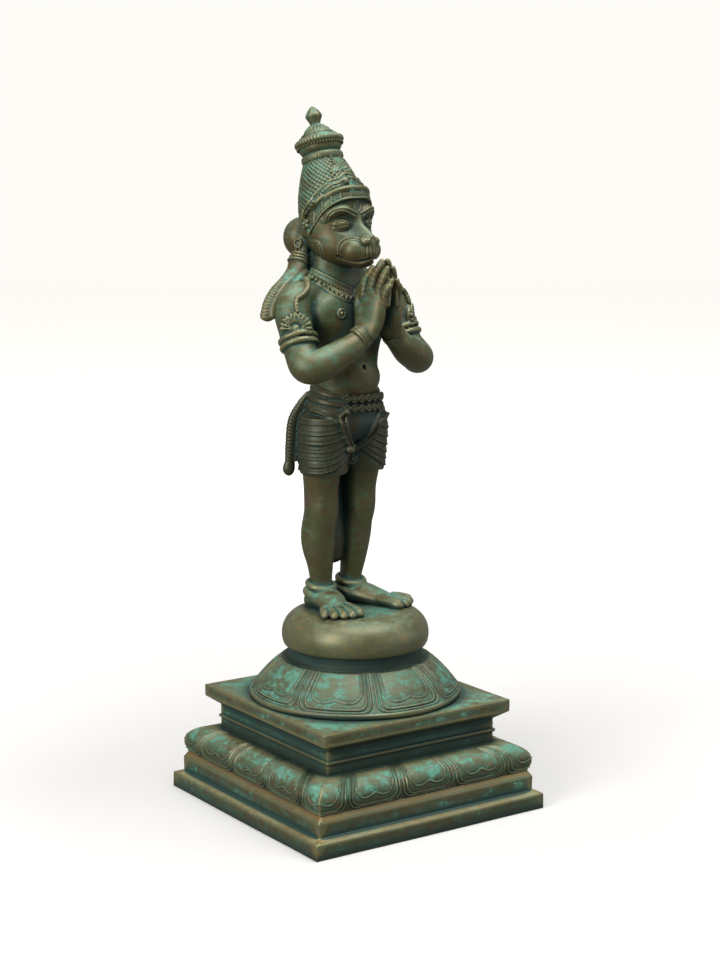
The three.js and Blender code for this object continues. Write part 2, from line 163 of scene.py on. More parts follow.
sweep.visible_glossy = False
paper = bpy.data.materials.new("white_paper")
paper.use_nodes = True
paper_shader = paper.node_tree.nodes["Principled BSDF"]
paper_shader.inputs["Base Color"].default_value = (0.6, 0.593, 0.582, 1)
paper_shader.inputs["Roughness"].default_value = 0.9
paper_shader.inputs["Specular IOR Level"].default_value = 0.1
paper_shader.inputs["Emission Strength"].default_value = 1.0
paper_start = Wire(paper.node_tree)
paper_place = paper_start.put("ShaderNodeTexCoord", output=3)
paper_reach = paper_start.put("ShaderNodeVectorMath", {"operation": "LENGTH"}, {0: paper_place}, output=1)
# Painted glow: the paper's own light rises from 0.06 near the plinth to 0.77 far off.
glow_range = {"Value": paper_reach, "From Min": 0.2, "From Max": 1.2, "To Min": 0.06, "To Max": 0.77}
paper_glow = paper_start.put("ShaderNodeMapRange", inputs=glow_range)
glow_tint = {0: (1, 0.985, 0.94), "Scale": paper_glow}
paper_tint = paper_start.put("ShaderNodeVectorMath", {"operation": "SCALE"}, glow_tint)
paper.node_tree.links.new(paper_tint.socket, paper_shader.inputs["Emission Color"])
sweep_mesh.materials.append(paper)


# Square plinth: a stepped block of cast bronze with a petal band, a neck and a slab, cast by itself.
# It was cleaned with a file, then given a green patina and rubbed back to ochre along its slopes.
_, plinth_high = (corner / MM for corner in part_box("square_plinth"))
foot_half, slab_top = plinth_high.x, plinth_high.z
foot_height, step_inset, step_slope, step_height = 10.3, 5.5, 1.9, 9.7
band_inset, band_slope, band_height, band_swell = 2.8, 3.6, 18.5, 2
neck_inset, neck_height, neck_bead = 16, 16, 1.2
slab_bevel, slab_overhang = 5, 7.6
band_pitches = 4
step_foot = foot_height + step_slope
step_top = step_foot + step_height
band_foot = step_top + band_slope
band_top = band_foot + band_height
neck_top = band_top + neck_height
slab_foot = neck_top + slab_bevel
step_half = foot_half - step_inset
band_half = step_half - band_inset
neck_half = band_half - neck_inset
slab_half = neck_half + slab_overhang


def rgb(red, green, blue):
    return (red, green, blue, 1)


def patina(name, green, ochre, dark=0.0, seed=0.0, pool=0.0):
    """Cast bronze under a green patina. The mesh says where it is hollow, proud and shut in by its
    neighbours.
    Hollows hold dark patina with painted shade, shut-in places take painted shade, and proud edges and
    upward faces are lightened partly by wear and dust and partly by painted light.
    Below the height pool, in metres, more of the green has gathered."""
    material = bpy.data.materials.new(name)
    material.use_nodes = True
    tree = material.node_tree
    shader = tree.nodes["Principled BSDF"]
    start = Wire(tree)
    place = start.put("ShaderNodeTexCoord", output=3)
    offset, squeeze = (seed, seed * 0.7, seed * 1.3), (1, 1, 4.5)
    shifted = start.put("ShaderNodeVectorMath", {"operation": "ADD"}, {0: place, 1: offset})
    dragged = start.put("ShaderNodeVectorMath", {"operation": "MULTIPLY"}, {0: shifted, 1: squeeze})

    def cloud(scale, detail, rough=0.55, warp=0.0, where=shifted):
        inputs = {"Vector": where, "Scale": scale, "Detail": detail, "Roughness": rough, "Distortion": warp}
        return start.put("ShaderNodeTexNoise", inputs=inputs)

    def told(key):
        return start.put("ShaderNodeAttribute", {"attribute_name": key}, output=2)

    relief, form, occlusion_shade, rubbed = told("relief"), told("form"), told("occlusion_shade"), told("rubbed")
    facing = start.put("ShaderNodeNewGeometry", output=1)
    up = start.put("ShaderNodeSeparateXYZ", inputs={0: facing}, output=2)

    broad, blotch = cloud(16, 3, 0.6, 0.6), cloud(58, 4, 0.62, 0.8)
    mottle, grain = cloud(210, 4, 0.6), cloud(900, 2)
    streak = cloud(46, 4, 0.65, 0.5, dragged)
    hollow = (0 - relief).between(0.02, 0.17)
    proud = relief.between(0.03, 0.26)
    deep_form = (0 - form).between(0.1, 1.0)
    painted_shade_mask = (occlusion_shade + (mottle - 0.5) * 0.1).between(0.22, 0.47)

    brown, olive, liver = rgb(0.088, 0.066, 0.022), rgb(0.066, 0.08, 0.028), rgb(0.1, 0.068, 0.045)
    bare = (broad * 0.5 + mottle * 0.5).between(0.4, 0.6).over(brown, olive)
    bare = cloud(33, 3, 0.55, 0.4).between(0.58, 0.72).over(bare, liver)
    height = start.put("ShaderNodeSeparateXYZ", inputs={0: place}, output=2)
    gathered = (pool - height).between(0, 0.02)
    spread = blotch * 0.4 + broad * 0.25 + mottle * 0.55 + streak * 0.6 + up * 0.12 + gathered * 0.14
    spread = spread + hollow * 0.08 + deep_form * 0.1 - proud * 0.2 + (green - 0.25)
    film, crust = spread.between(0.58, 0.78), spread.between(0.78, 0.9)
    deep_green, pale_green = rgb(0.042, 0.2, 0.148), rgb(0.12, 0.35, 0.262)
    verdigris = (blotch * 0.4 + grain * 0.6).between(0.4, 0.62).over(deep_green, pale_green)
    # Upward faces take a paler film: partly dust, partly painted light from above.
    moss, dust_lit_from_above = rgb(0.056, 0.118, 0.07), rgb(0.175, 0.245, 0.15)
    dust_and_top_light = (up.between(0.4, 1.0) * 0.7).over(moss, dust_lit_from_above)
    colour = (film * 0.7).over(bare, dust_and_top_light)
    colour = (crust * 0.8).over(colour, verdigris)
    rust = cloud(74, 4, 0.62, 0.6, dragged).between(0.54, 0.68) * (ochre + 0.1)
    rust_brown, black = rgb(0.15, 0.092, 0.042), rgb(0.021, 0.021, 0.008)
    colour = rust.kept().over(colour, rust_brown)
    # Proud edges and rubbed slopes show metal: on the slopes it is wear, on proud edges partly wear and
    # partly a painted highlight.
    wear_and_highlight = (proud * (0.5 + mottle * 0.6) * (1 - painted_shade_mask) + rubbed * (ochre + mottle * 0.5)).kept()
    wear_and_highlight_metal, ochre_metal = rgb(0.22, 0.26, 0.15), rgb(0.32, 0.22, 0.08)
    metal = (mottle + rubbed * 0.3).between(0.45, 0.7).over(wear_and_highlight_metal, ochre_metal)
    colour = (wear_and_highlight * 0.62).over(colour, metal)
    colour = start.put("ShaderNodeMix", {"data_type": "RGBA"}, {0: dark, 6: colour, 7: black}, output=2)
    broad_teal, line_teal = rgb(0.014, 0.056, 0.047), rgb(0.007, 0.036, 0.029)
    shade_teal = rgb(0.009, 0.034, 0.029)
    # Broad hollows, as under the jaw, are darkened to dark teal: partly patina, partly painted shade.
    colour = (deep_form * 0.55).over(colour, broad_teal)
    # Grooves are darkened to near-black teal: partly the dark patina that fills them, partly painted shade.
    colour = (hollow * 0.86).over(colour, line_teal)
    # Painted shade: dark teal where the solids close in round a point, standing in for the shade that falls
    # there.
    colour = (painted_shade_mask * 0.86).over(colour, shade_teal)

    # Patina and painted shade alike are made less metallic and rougher.
    covered_and_shaded = (film * 0.5 + crust * 0.5 + painted_shade_mask * 0.5).kept()
    tree.links.new(colour.socket, shader.inputs["Base Color"])
    tree.links.new((0.44 - covered_and_shaded * 0.36).socket, shader.inputs["Metallic"])
    rough = (0.48 + covered_and_shaded * 0.18 + (mottle - 0.5) * 0.25 - wear_and_highlight * 0.08).kept()
    tree.links.new(rough.socket, shader.inputs["Roughness"])
    tree.links.new((0.14 - covered_and_shaded * 0.1).kept().socket, shader.inputs["Coat Weight"])
    shader.inputs["Coat Roughness"].default_value = 0.36
    pits = mottle * 0.4 + grain * 0.35 + crust * 0.25
    bump = start.put("ShaderNodeBump", inputs={"Height": pits, "Strength": 0.34, "Distance": 0.0006})
    tree.links.new(bump.socket, shader.inputs["Normal"])
    return material


# A block of values in steps of SHADE_STEP mm says how full the space is round any point, and so where
# painted shade goes. It is worked out from the imported solids and a floor, and blurred twice along each
# axis.
SHADE_STEP, SHADE_PAD, SHADE_BLURS = 2.0, 14, (3, 4)


def filled_space():
    points, faces, count = [], [], 0
    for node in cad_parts.values():
        corners = np.array([v.co for v in node.data.vertices]) / MM
        node.data.calc_loop_triangles()
        faces.append(np.array([t.vertices for t in node.data.loop_triangles]) + count)
        points.append(corners)
        count += len(corners)
    points, faces = np.vstack(points), np.vstack(faces)
    low = np.array([-foot_half - SHADE_PAD, -foot_half - SHADE_PAD, -SHADE_PAD])
    size = np.ceil((points.max(0) + SHADE_PAD - low) / SHADE_STEP).astype(int)
    grid = openvdb.FloatGrid.createLevelSetFromPolygons(
        ((points - low) / SHADE_STEP).astype(np.float32), triangles=faces.astype(np.uint32), halfWidth=3
    )
    solid = np.zeros(size, np.float32)
    grid.copyToArray(solid)
    full = np.clip(0.5 - solid, 0, 1)
    full[:, :, : int(SHADE_PAD / SHADE_STEP)] = 1
    for axis in range(3):
        for reach in SHADE_BLURS:
            pads = [(reach + 1, reach) if k == axis else (0, 0) for k in range(3)]
            run = np.cumsum(np.pad(full, pads), axis)
            ahead = np.take(run, range(2 * reach + 1, run.shape[axis]), axis)
            behind = np.take(run, range(run.shape[axis] - 2 * reach - 1), axis)
            full = (ahead - behind) / (2 * reach + 1)
    return low, full


shade_low, shade = filled_space()


def sample(block, spots):
    """Values between the points of a regular block, spots given in its steps."""
    spots = np.clip(spots, 0, np.array(block.shape) - 1.001)
    base = spots.astype(int)
    x, y, z = (spots - base).T
    i, j, k = base.T
    near = block[i, j, k] * (1 - x) + block[i + 1, j, k] * x
    beside = block[i, j + 1, k] * (1 - x) + block[i + 1, j + 1, k] * x
    above = block[i, j, k + 1] * (1 - x) + block[i + 1, j, k + 1] * x
    across = block[i, j + 1, k + 1] * (1 - x) + block[i + 1, j + 1, k + 1] * x
    return (near * (1 - y) + beside * y) * (1 - z) + (above * (1 - y) + across * y) * z


def measure_relief_and_shade(piece, fine_rounds=10, broad_rounds=60):
    """Stores how proud of its neighbours each point lies, in mm, and how shut in it is by the solids round
    it, which sets the painted shade.
    """
    mesh = piece.data
    count = len(mesh.vertices)
    points = np.empty(count * 3, np.float32)
    mesh.vertices.foreach_get("co", points)
    points = points.reshape(-1, 3).astype(float)
    normals = np.empty(count * 3, np.float32)
    mesh.vertex_normals.foreach_get("vector", normals)
    normals = normals.reshape(-1, 3)
    ends = np.empty(len(mesh.edges) * 2, np.int32)
    mesh.edges.foreach_get("vertices", ends)
    a, b = ends.reshape(-1, 2).T
    degree = np.bincount(ends, minlength=count)[:, None] + 1e-9
    soft, told = points.copy(), {}
    for turn in range(1, broad_rounds + 1):
        ahead = [np.bincount(a, soft[b, k], count) + np.bincount(b, soft[a, k], count) for k in range(3)]
        soft = (soft + np.stack(ahead, 1) / degree) / 2
        if turn == fine_rounds:
            told["relief"] = ((points - soft) * normals).sum(1) / MM
    told["form"] = ((points - soft) * normals).sum(1) / MM
    air_mm = 5.0
    spots = (points / MM + normals * air_mm - shade_low) / SHADE_STEP
    told["occlusion_shade"] = sample(shade, spots)
    for key, values in told.items():
        mesh.attributes.new(key, "FLOAT", "POINT").data.foreach_set("value", values.astype(np.float32))


def piece_from(name, points, faces, material, sharp_angle=None):
    """A new mesh object at the origin. Points are in mm in the part's own frame."""
    mesh = bpy.data.meshes.new(name)
    mesh.from_pydata((np.asarray(points) * MM).tolist(), [], np.asarray(faces).tolist())
    mesh.materials.append(material)
    mesh.shade_smooth()
    if sharp_angle is not None:
        mesh.set_sharp_from_angle(angle=math.radians(sharp_angle))
    piece = bpy.data.objects.new(name, mesh)
    bpy.context.scene.collection.objects.link(piece)
    return piece


def open_tree(name, sizes):
    """A Geometry Nodes tree that takes a mesh, named sizes and a finish: its start and those inputs."""
    tree = bpy.data.node_groups.new(name, "GeometryNodeTree")
    labels = {"Geometry": "Geometry", **sizes, "Finish": "Material"}
    for label, kind in labels.items():
        tree.interface.new_socket(label, in_out="INPUT", socket_type="NodeSocket" + kind)
    tree.interface.new_socket("Geometry", in_out="OUTPUT", socket_type="NodeSocketGeometry")
    given = tree.nodes.new("NodeGroupInput")
    return Wire(tree), [Wire(tree, given.outputs[k]) for k in range(len(labels))]


def close_tree(start, shape, finish):
    """Gives the shape its finish, sends it out of the tree and hands back the tree."""
    ended = start.put("GeometryNodeSetMaterial", inputs={"Geometry": shape, "Material": finish})
    start.tree.links.new(ended.socket, start.tree.nodes.new("NodeGroupOutput").inputs[0])
    return start.tree


def copies_tree():
    """Copies of a mesh turned round the upright axis and welded into one."""
    start, (shape, copies, weld, finish) = open_tree("turned_copies", {"Copies": "Int", "Weld": "Float"})
    spots = start.put("GeometryNodePoints", inputs={"Count": copies})
    angle = start.put("GeometryNodeInputIndex") * (2 * math.pi) / copies
    turn = start.put("ShaderNodeCombineXYZ", inputs={"Z": angle})
    spin = start.put("FunctionNodeEulerToRotation", inputs={"Euler": turn})
    copied = {"Points": spots, "Instance": shape, "Rotation": spin}
    placed = start.put("GeometryNodeInstanceOnPoints", inputs=copied)
    real = start.put("GeometryNodeRealizeInstances", inputs={"Geometry": placed})
    welded = start.put("GeometryNodeMergeByDistance", inputs={"Geometry": real, "Distance": weld})
    return close_tree(start, welded, finish)


turned_copies = copies_tree()
WELD = 0.02 * MM


def worked_out(piece, tree, values):
    """Runs a Geometry Nodes tree on a piece and keeps the plain mesh."""
    modifier = piece.modifiers.new(tree.name, "NODES")
    modifier.node_group = tree
    for item in tree.interface.items_tree:
        if item.in_out == "INPUT" and item.name in values:
            modifier[item.identifier] = values[item.name]
    bpy.context.view_layer.update()
    made = bpy.data.meshes.new_from_object(piece.evaluated_get(bpy.context.evaluated_depsgraph_get()))
    piece.modifiers.clear()
    piece.data = made
    made.name = piece.name


def grid_faces(rows, columns):
    """The faces of a grid of points told row by row."""
    first = np.arange(rows - 1)[:, None] * columns + np.arange(columns - 1)[None]
    return np.stack([first, first + 1, first + columns + 1, first + columns], -1).reshape(-1, 4)


def petals(across, down, pitch, length):
    """Height of petal carving, in mm: across counts petals from one's middle, down runs root to tip."""
    signed = (across - np.round(across)) * pitch
    corner = 6.0
    line_width, groove_place, groove_width = 0.46, 0.95, 0.45

    def inside(half, tip, lobes=0.0):
        """How far a point lies in from an outline, in mm: straight sides and a round-cornered tip."""
        reach = half * pitch
        end = tip * length + lobes * np.abs(np.sin(np.pi * signed / reach))
        over, below = np.abs(signed) - reach + corner, down * length - end + corner
        outside = np.hypot(np.maximum(over, 0), np.maximum(below, 0))
        return corner - (outside + np.minimum(np.maximum(over, below), 0))

    def raised_line(depth, rise):
        """A line that stands up, with a shallow groove along both of its edges."""
        inner = np.exp(-(((depth - groove_place) / groove_width) ** 2))
        outer = np.exp(-(((depth + groove_place) / groove_width) ** 2))
        return rise * np.exp(-((depth / line_width) ** 2)) - 0.4 * rise * (inner + outer)

    height = np.zeros(np.broadcast(across, down).shape)
    for half, tip, rise in ((0.462, 0.975, 0.6), (0.405, 0.92, 0.52)):
        depth = inside(half, tip)
        height += raised_line(depth, rise) + 0.2 * np.clip(depth + 0.5, 0, 1)
    depth = inside(0.35, 0.7, lobes=0.075 * length)
    height += raised_line(depth, 0.5) + 0.4 * (1 - np.exp(-np.maximum(depth, 0) / 2.2))
    return height * np.clip(down / 0.04, 0, 1) * np.clip((1 - down) / 0.02, 0, 1)


def crowded(places):
    """Moves columns, in petals, closer together where the petals' lines run."""
    return places + 0.5 * np.sin(2 * np.pi * places) / (2 * np.pi)


def wobble(points, reach, size):
    """A slow drift of the surface, as a hand leaves it, never outward past the true line."""
    x, y, z = points.T / size
    drift = np.sin(x * 1.7 + y * 0.6 + 1.1) * np.sin(y * 1.3 - z * 2.1 + 0.4)
    drift = drift + np.sin(x * 0.7 - z * 1.9 + 2.3)
    return reach * (drift - 2) / 4


def band_reach(share):
    """The band's half-width at a share of its height: it swells to a belly, then turns in to the neck."""
    belly = 0.4
    rise = np.clip((share - belly) / (1 - belly), 0, 1)
    low = band_half + band_swell * np.sin(np.pi / 2 * np.clip(share / belly, 0, 1))
    high = neck_half + (band_half + band_swell - neck_half) * np.sqrt(1 - rise**2)
    return np.where(share < belly, low, high)


def plinth_side(rows, share, relief=None):
    """One side of a square form, rows of [half-width, height, rubbed], ready to be turned four times.
    Its drift is the same at both ends, so that the four sides meet at the corners."""
    half, height, rubbed = (np.array(rows, float)[:, k][:, None] for k in range(3))
    columns = len(share)
    share = share[None]
    height = height + 0 * share
    if relief is not None:
        outward, upward, raised = relief(share)
        half, height = half + outward * raised, height + upward * raised
    points = np.stack([share * half, -half + 0 * share, height], -1).reshape(-1, 3)
    evened = np.column_stack([points[:, 0] ** 2 / foot_half, points[:, 1:]])
    drift_reach, drift_size, calm_middle, calm_edge = 0.5, 17.0, 10, 20
    drift = wobble(evened, drift_reach, drift_size)
    edge = np.clip((np.abs(points[:, 1]) - calm_middle) / calm_edge, 0, 1)
    points[:, :2] *= (1 + drift * edge / foot_half)[:, None]
    return points, grid_faces(len(rows), columns), np.repeat(rubbed, columns, 1).reshape(-1)


def steps(first, last, count, rubbed=0.0, ends=(0, 1)):
    """Rows at even steps of a straight line, or of the part of it between two shares."""
    return [[*(np.array(first) + (np.array(last) - first) * t), rubbed] for t in np.linspace(*ends, count)]


def rounded(first, corner, last):
    """Three rows that take a soft corner from first to last."""
    a, b, c = (np.array(p, float) for p in (first, corner, last))
    return [[*((1 - t) ** 2 * a + 2 * t * (1 - t) * b + t**2 * c), 0.0] for t in (0.0, 0.5, 1.0)]


plinth_bronze = patina("plinth_patina", green=0.07, ochre=0.7)
soft_edge = 0.8
neck_middle = band_top + neck_height / 2
neck_bead_rise, neck_bead_turns = 1.4, np.linspace(0, math.pi, 9)
foot_end = (foot_half - soft_edge, foot_height + 0.3)
step_end = (step_half - 0.6, step_top + 0.7)
foot_rows = (
    steps((0, 0), (foot_half - 1, 0), 4)
    + rounded((foot_half - soft_edge, 0), (foot_half, 0), (foot_half, soft_edge))
    + steps((foot_half, soft_edge), (foot_half, foot_height - soft_edge), 6, ends=(0.15, 0.85))
    + rounded((foot_half, foot_height - soft_edge), (foot_half, foot_height), foot_end)
    + steps(foot_end, (step_half + 0.5, step_foot), 5, 1.0, (0.12, 1))
    + steps((step_half, step_foot + 0.4), (step_half, step_top - soft_edge), 6)
    + rounded((step_half, step_top - soft_edge), (step_half, step_top), step_end)
    + steps(step_end, (band_half + 0.3, band_foot), 4, 1.0, (0.2, 1))
    + steps((band_half - 1, band_foot + 0.4), (0, band_foot + 1), 3)
)
neck_bead_rows = []
for turn in neck_bead_turns:
    bead_height = neck_middle - neck_bead_rise * math.cos(turn)
    neck_bead_rows.append([neck_half + neck_bead * math.sin(turn), bead_height, 0.0])
head_rows = (
    steps((0, band_top - 4), (neck_half - 2, band_top - 4), 3)
    + steps((neck_half, band_top - 2), (neck_half, neck_middle - 2.4), 7)
    + neck_bead_rows
    + steps((neck_half, neck_middle + 2.4), (neck_half, neck_top), 5)
    + steps((neck_half, neck_top), (slab_half - 0.5, slab_foot), 5, ends=(0.15, 1))
    + steps((slab_half, slab_foot + 0.4), (slab_half, slab_top - soft_edge), 6)
    + rounded((slab_half, slab_top - soft_edge), (slab_half, slab_top), (slab_half - soft_edge, slab_top))
    + steps((slab_half - soft_edge, slab_top), (0, slab_top), 12, ends=(0.04, 1))
)


def band_rows(count):
    """Rows up the band: shares of its height, half-widths, and the outward and upward parts of its slope."""
    near = 0.01
    shares = np.linspace(0, 1, count)
    ahead = band_reach(np.minimum(shares + near, 1)) - band_reach(np.maximum(shares - near, 0))
    one_sided = (shares < near) | (shares > 1 - near)
    slope = np.arctan2(-ahead, 2 * near * band_height * np.where(one_sided, 0.5, 1))
    return shares, band_reach(shares), np.cos(slope), np.sin(slope)


band_count, band_columns = 50, 244
band_places = crowded(np.linspace(-band_pitches / 2, band_pitches / 2, band_columns)) / (band_pitches / 2)
plain_places = np.linspace(-1, 1, 80)
band_shares, band_halves, band_out, band_up = band_rows(band_count)
petal_pitch = 2 * band_half / band_pitches
band_steps = np.hypot(np.diff(band_halves), np.diff(band_shares) * band_height)
arc = np.concatenate([[0], np.cumsum(band_steps)])
bed_rows = [[0, band_foot + 0.2, 0], [band_half - 2, band_foot + 0.2, 0]]
lid_rows = [[neck_half - 3, band_top + 0.2, 0], [0, band_top + 0.2, 0]]


def band_relief(share):
    """The carved petals of the band, and nothing on the plain rows that close it."""
    down = (1 - arc / arc[-1])[:, None]
    lift = petals(share * band_pitches / 2, down, petal_pitch, arc[-1])
    ends = (len(bed_rows), len(lid_rows))
    return np.pad(band_out, ends)[:, None], np.pad(band_up, ends)[:, None], np.pad(lift, (ends, (0, 0)))


carved_rows = [[half, band_foot + band_height * share, 0.0] for half, share in zip(band_halves, band_shares)]
petal_rows = bed_rows + carved_rows + lid_rows
shells = [plinth_side(foot_rows, plain_places), plinth_side(head_rows, plain_places)]
shells.append(plinth_side(petal_rows, band_places, band_relief))
count, points, faces, rubbed = 0, [], [], []
for shell_points, shell_faces, shell_rubbed in shells:
    points.append(shell_points)
    faces.append(shell_faces + count)
    rubbed.append(shell_rubbed)
    count += len(shell_points)
plinth = piece_from("stepped_plinth", np.vstack(points), np.vstack(faces), plinth_bronze, sharp_angle=40)
rubbed = np.concatenate(rubbed).astype(np.float32)
plinth.data.attributes.new("rubbed", "FLOAT", "POINT").data.foreach_set("value", rubbed)
worked_out(plinth, turned_copies, {"Copies": 4, "Weld": WELD, "Finish": plinth_bronze})
measure_relief_and_shade(plinth)
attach(plinth, "root")
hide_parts("square_plinth")


# Lotus seat: a downturned lotus of eight petals, a waist and a smooth cushion, cast in one with the figure.
# The petals' double outlines were cut in the wax, and the rim stands free of the plinth by a dark line.
figure_low, figure_high = (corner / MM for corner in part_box("hanuman_on_lotus"))
rim_foot = figure_low.z
rim_radius, rim_lip, lotus_height, lotus_top_radius = figure_high.x, 4.5, 20.5, 48
waist_height, waist_radius, cushion_height, cushion_radius = 8.2, 45.6, 23.6, 48.8
lotus_petals, first_petal = 8, 21.5
rim_top = rim_foot + rim_lip
lotus_top = rim_top + lotus_height
cushion_foot = lotus_top + waist_height
seat_top = cushion_foot + cushion_height


def seat_sector(rows, columns, relief=None):
    """One petal's share of a turned form, rows of [radius, height]."""
    radius, height = (np.array(rows, float)[:, k][:, None] for k in range(2))
    across = crowded(np.linspace(-0.5, 0.5, columns))[None]
    turn = np.radians(first_petal + (across + 0.5) * 360 / lotus_petals)
    raised = np.zeros((len(rows), columns)) if relief is None else relief(across)
    outward, upward = 0.67, 0.74
    radius, height = radius + raised * outward, height + raised * upward
    points = np.stack([radius * np.cos(turn), radius * np.sin(turn), height + 0 * turn], -1)
    return points.reshape(-1, 3), grid_faces(len(rows), columns)


bell_count, bell_columns = 54, 88
bell_share = np.linspace(0, 1, bell_count)
swell = 1.1 * np.sin(np.pi * bell_share)
bell_radius = lotus_top_radius + (rim_radius - 1.6 - lotus_top_radius) * bell_share + swell * 0.65
bell_height = lotus_top - lotus_height * bell_share + swell - 0.6 * bell_share
slope_length = math.hypot(rim_radius - lotus_top_radius, lotus_height)
rim_side = rim_radius - 0.05
rim_rows = [
    [0, rim_foot],
    [rim_radius - 20, rim_foot],
    [rim_radius - 1.0, rim_foot],
    [rim_radius - 0.3, rim_foot + 0.5],
    [rim_side, rim_foot + 1.4],
    [rim_side, rim_top - 1.6],
    [rim_radius - 0.5, rim_top - 0.9],
]
bell_cap = [[lotus_top_radius - 6, lotus_top + 0.2], [0, lotus_top + 0.2]]
bell_rows = rim_rows + [[r, z] for r, z in zip(bell_radius[::-1], bell_height[::-1])] + bell_cap


def bell_relief(across):
    """The carved petals of the lotus, and nothing on its rim and cap."""
    pitch = 2 * np.pi * bell_radius[:, None] / lotus_petals
    lift = petals(across, bell_share[:, None], pitch, slope_length)
    return np.pad(lift[::-1], ((len(rim_rows), len(bell_cap)), (0, 0)))


edge = cushion_height * 0.34
shoulder = 15
shoulder_start = cushion_radius - shoulder
bulge = cushion_radius - waist_radius
cushion_rows = [
    [0, lotus_top - 2],
    [waist_radius - 8, lotus_top - 2],
    [waist_radius + 0.4, lotus_top - 2],
    [waist_radius - 0.2, lotus_top + 0.8],
]
for turn in np.linspace(0.4, 3.0, 6):
    height = lotus_top + waist_height * turn / math.pi
    cushion_rows.append([waist_radius - 0.9 - 0.4 * math.sin(turn), height])
for turn in np.linspace(0.12, math.pi / 2, 9):
    cushion_rows.append([waist_radius + bulge * math.sin(turn), cushion_foot + edge * (1 - math.cos(turn))])
for turn in np.linspace(0.1, math.pi / 2, 18):
    height = seat_top - (cushion_height - edge) * (1 - math.sin(turn))
    cushion_rows.append([shoulder_start + shoulder * math.cos(turn), height])
cushion_rows += [[24, seat_top], [10, seat_top], [0, seat_top]]
seat_bronze = patina("seat_patina", green=0.07, ochre=0.3, dark=0.12, seed=3.1)
bell_points, bell_faces = seat_sector(bell_rows, bell_columns, bell_relief)
cushion_points, cushion_faces = seat_sector(cushion_rows, 31)
seat_points = np.vstack([bell_points, cushion_points])
seat_faces = np.vstack([bell_faces, cushion_faces + len(bell_points)])
seat = piece_from("lotus_seat", seat_points, seat_faces, seat_bronze, sharp_angle=60)
worked_out(seat, turned_copies, {"Copies": lotus_petals, "Weld": WELD, "Finish": seat_bronze})
measure_relief_and_shade(seat)
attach(seat, "root")
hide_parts("hanuman_on_lotus")


# Legs and feet: bare from the cloth's hem down, a pair of heavy anklets on each, standing on the cushion.
# They were built up in wax on the same core as the seat, and their toes were parted with a knife.
figure_turn = math.radians(8)
figure_place = Matrix.Translation((2, 0, seat_top)) @ Matrix.Rotation(figure_turn, 4, "Z")

# Where the camera stands and which way runs across its view, in the figure's own mm.
eye = np.array(figure_place.inverted() @ (camera.location / MM))
view_across = np.array((0.738, -0.675, 0))


def smooth_line(stations, pieces=8):
    """Points along a soft curve through stations, pieces to a span."""
    p = np.array(stations, float)
    p = np.vstack([2 * p[0] - p[1], p, 2 * p[-1] - p[-2]])
    t = (np.arange(pieces) / pieces)[None, :, None]
    a, b, c, d = p[:-3, None], p[1:-2, None], p[2:-1, None], p[3:, None]
    curve = 0.5 * (2 * b + (c - a) * t + (2 * a - 5 * b + 4 * c - d) * t**2 + (3 * b - a - 3 * c + d) * t**3)
    return np.vstack([curve.reshape(-1, p.shape[1]), p[-2]])


def run_along(points):
    """How far along a line each of its points lies."""
    return np.concatenate([[0], np.cumsum(np.linalg.norm(np.diff(points, axis=0), axis=1))])


def mirrored(stations, side):
    """The stations on the side that shows, -1, or on the other, 1."""
    return [[side * across, *rest] for across, *rest in stations]


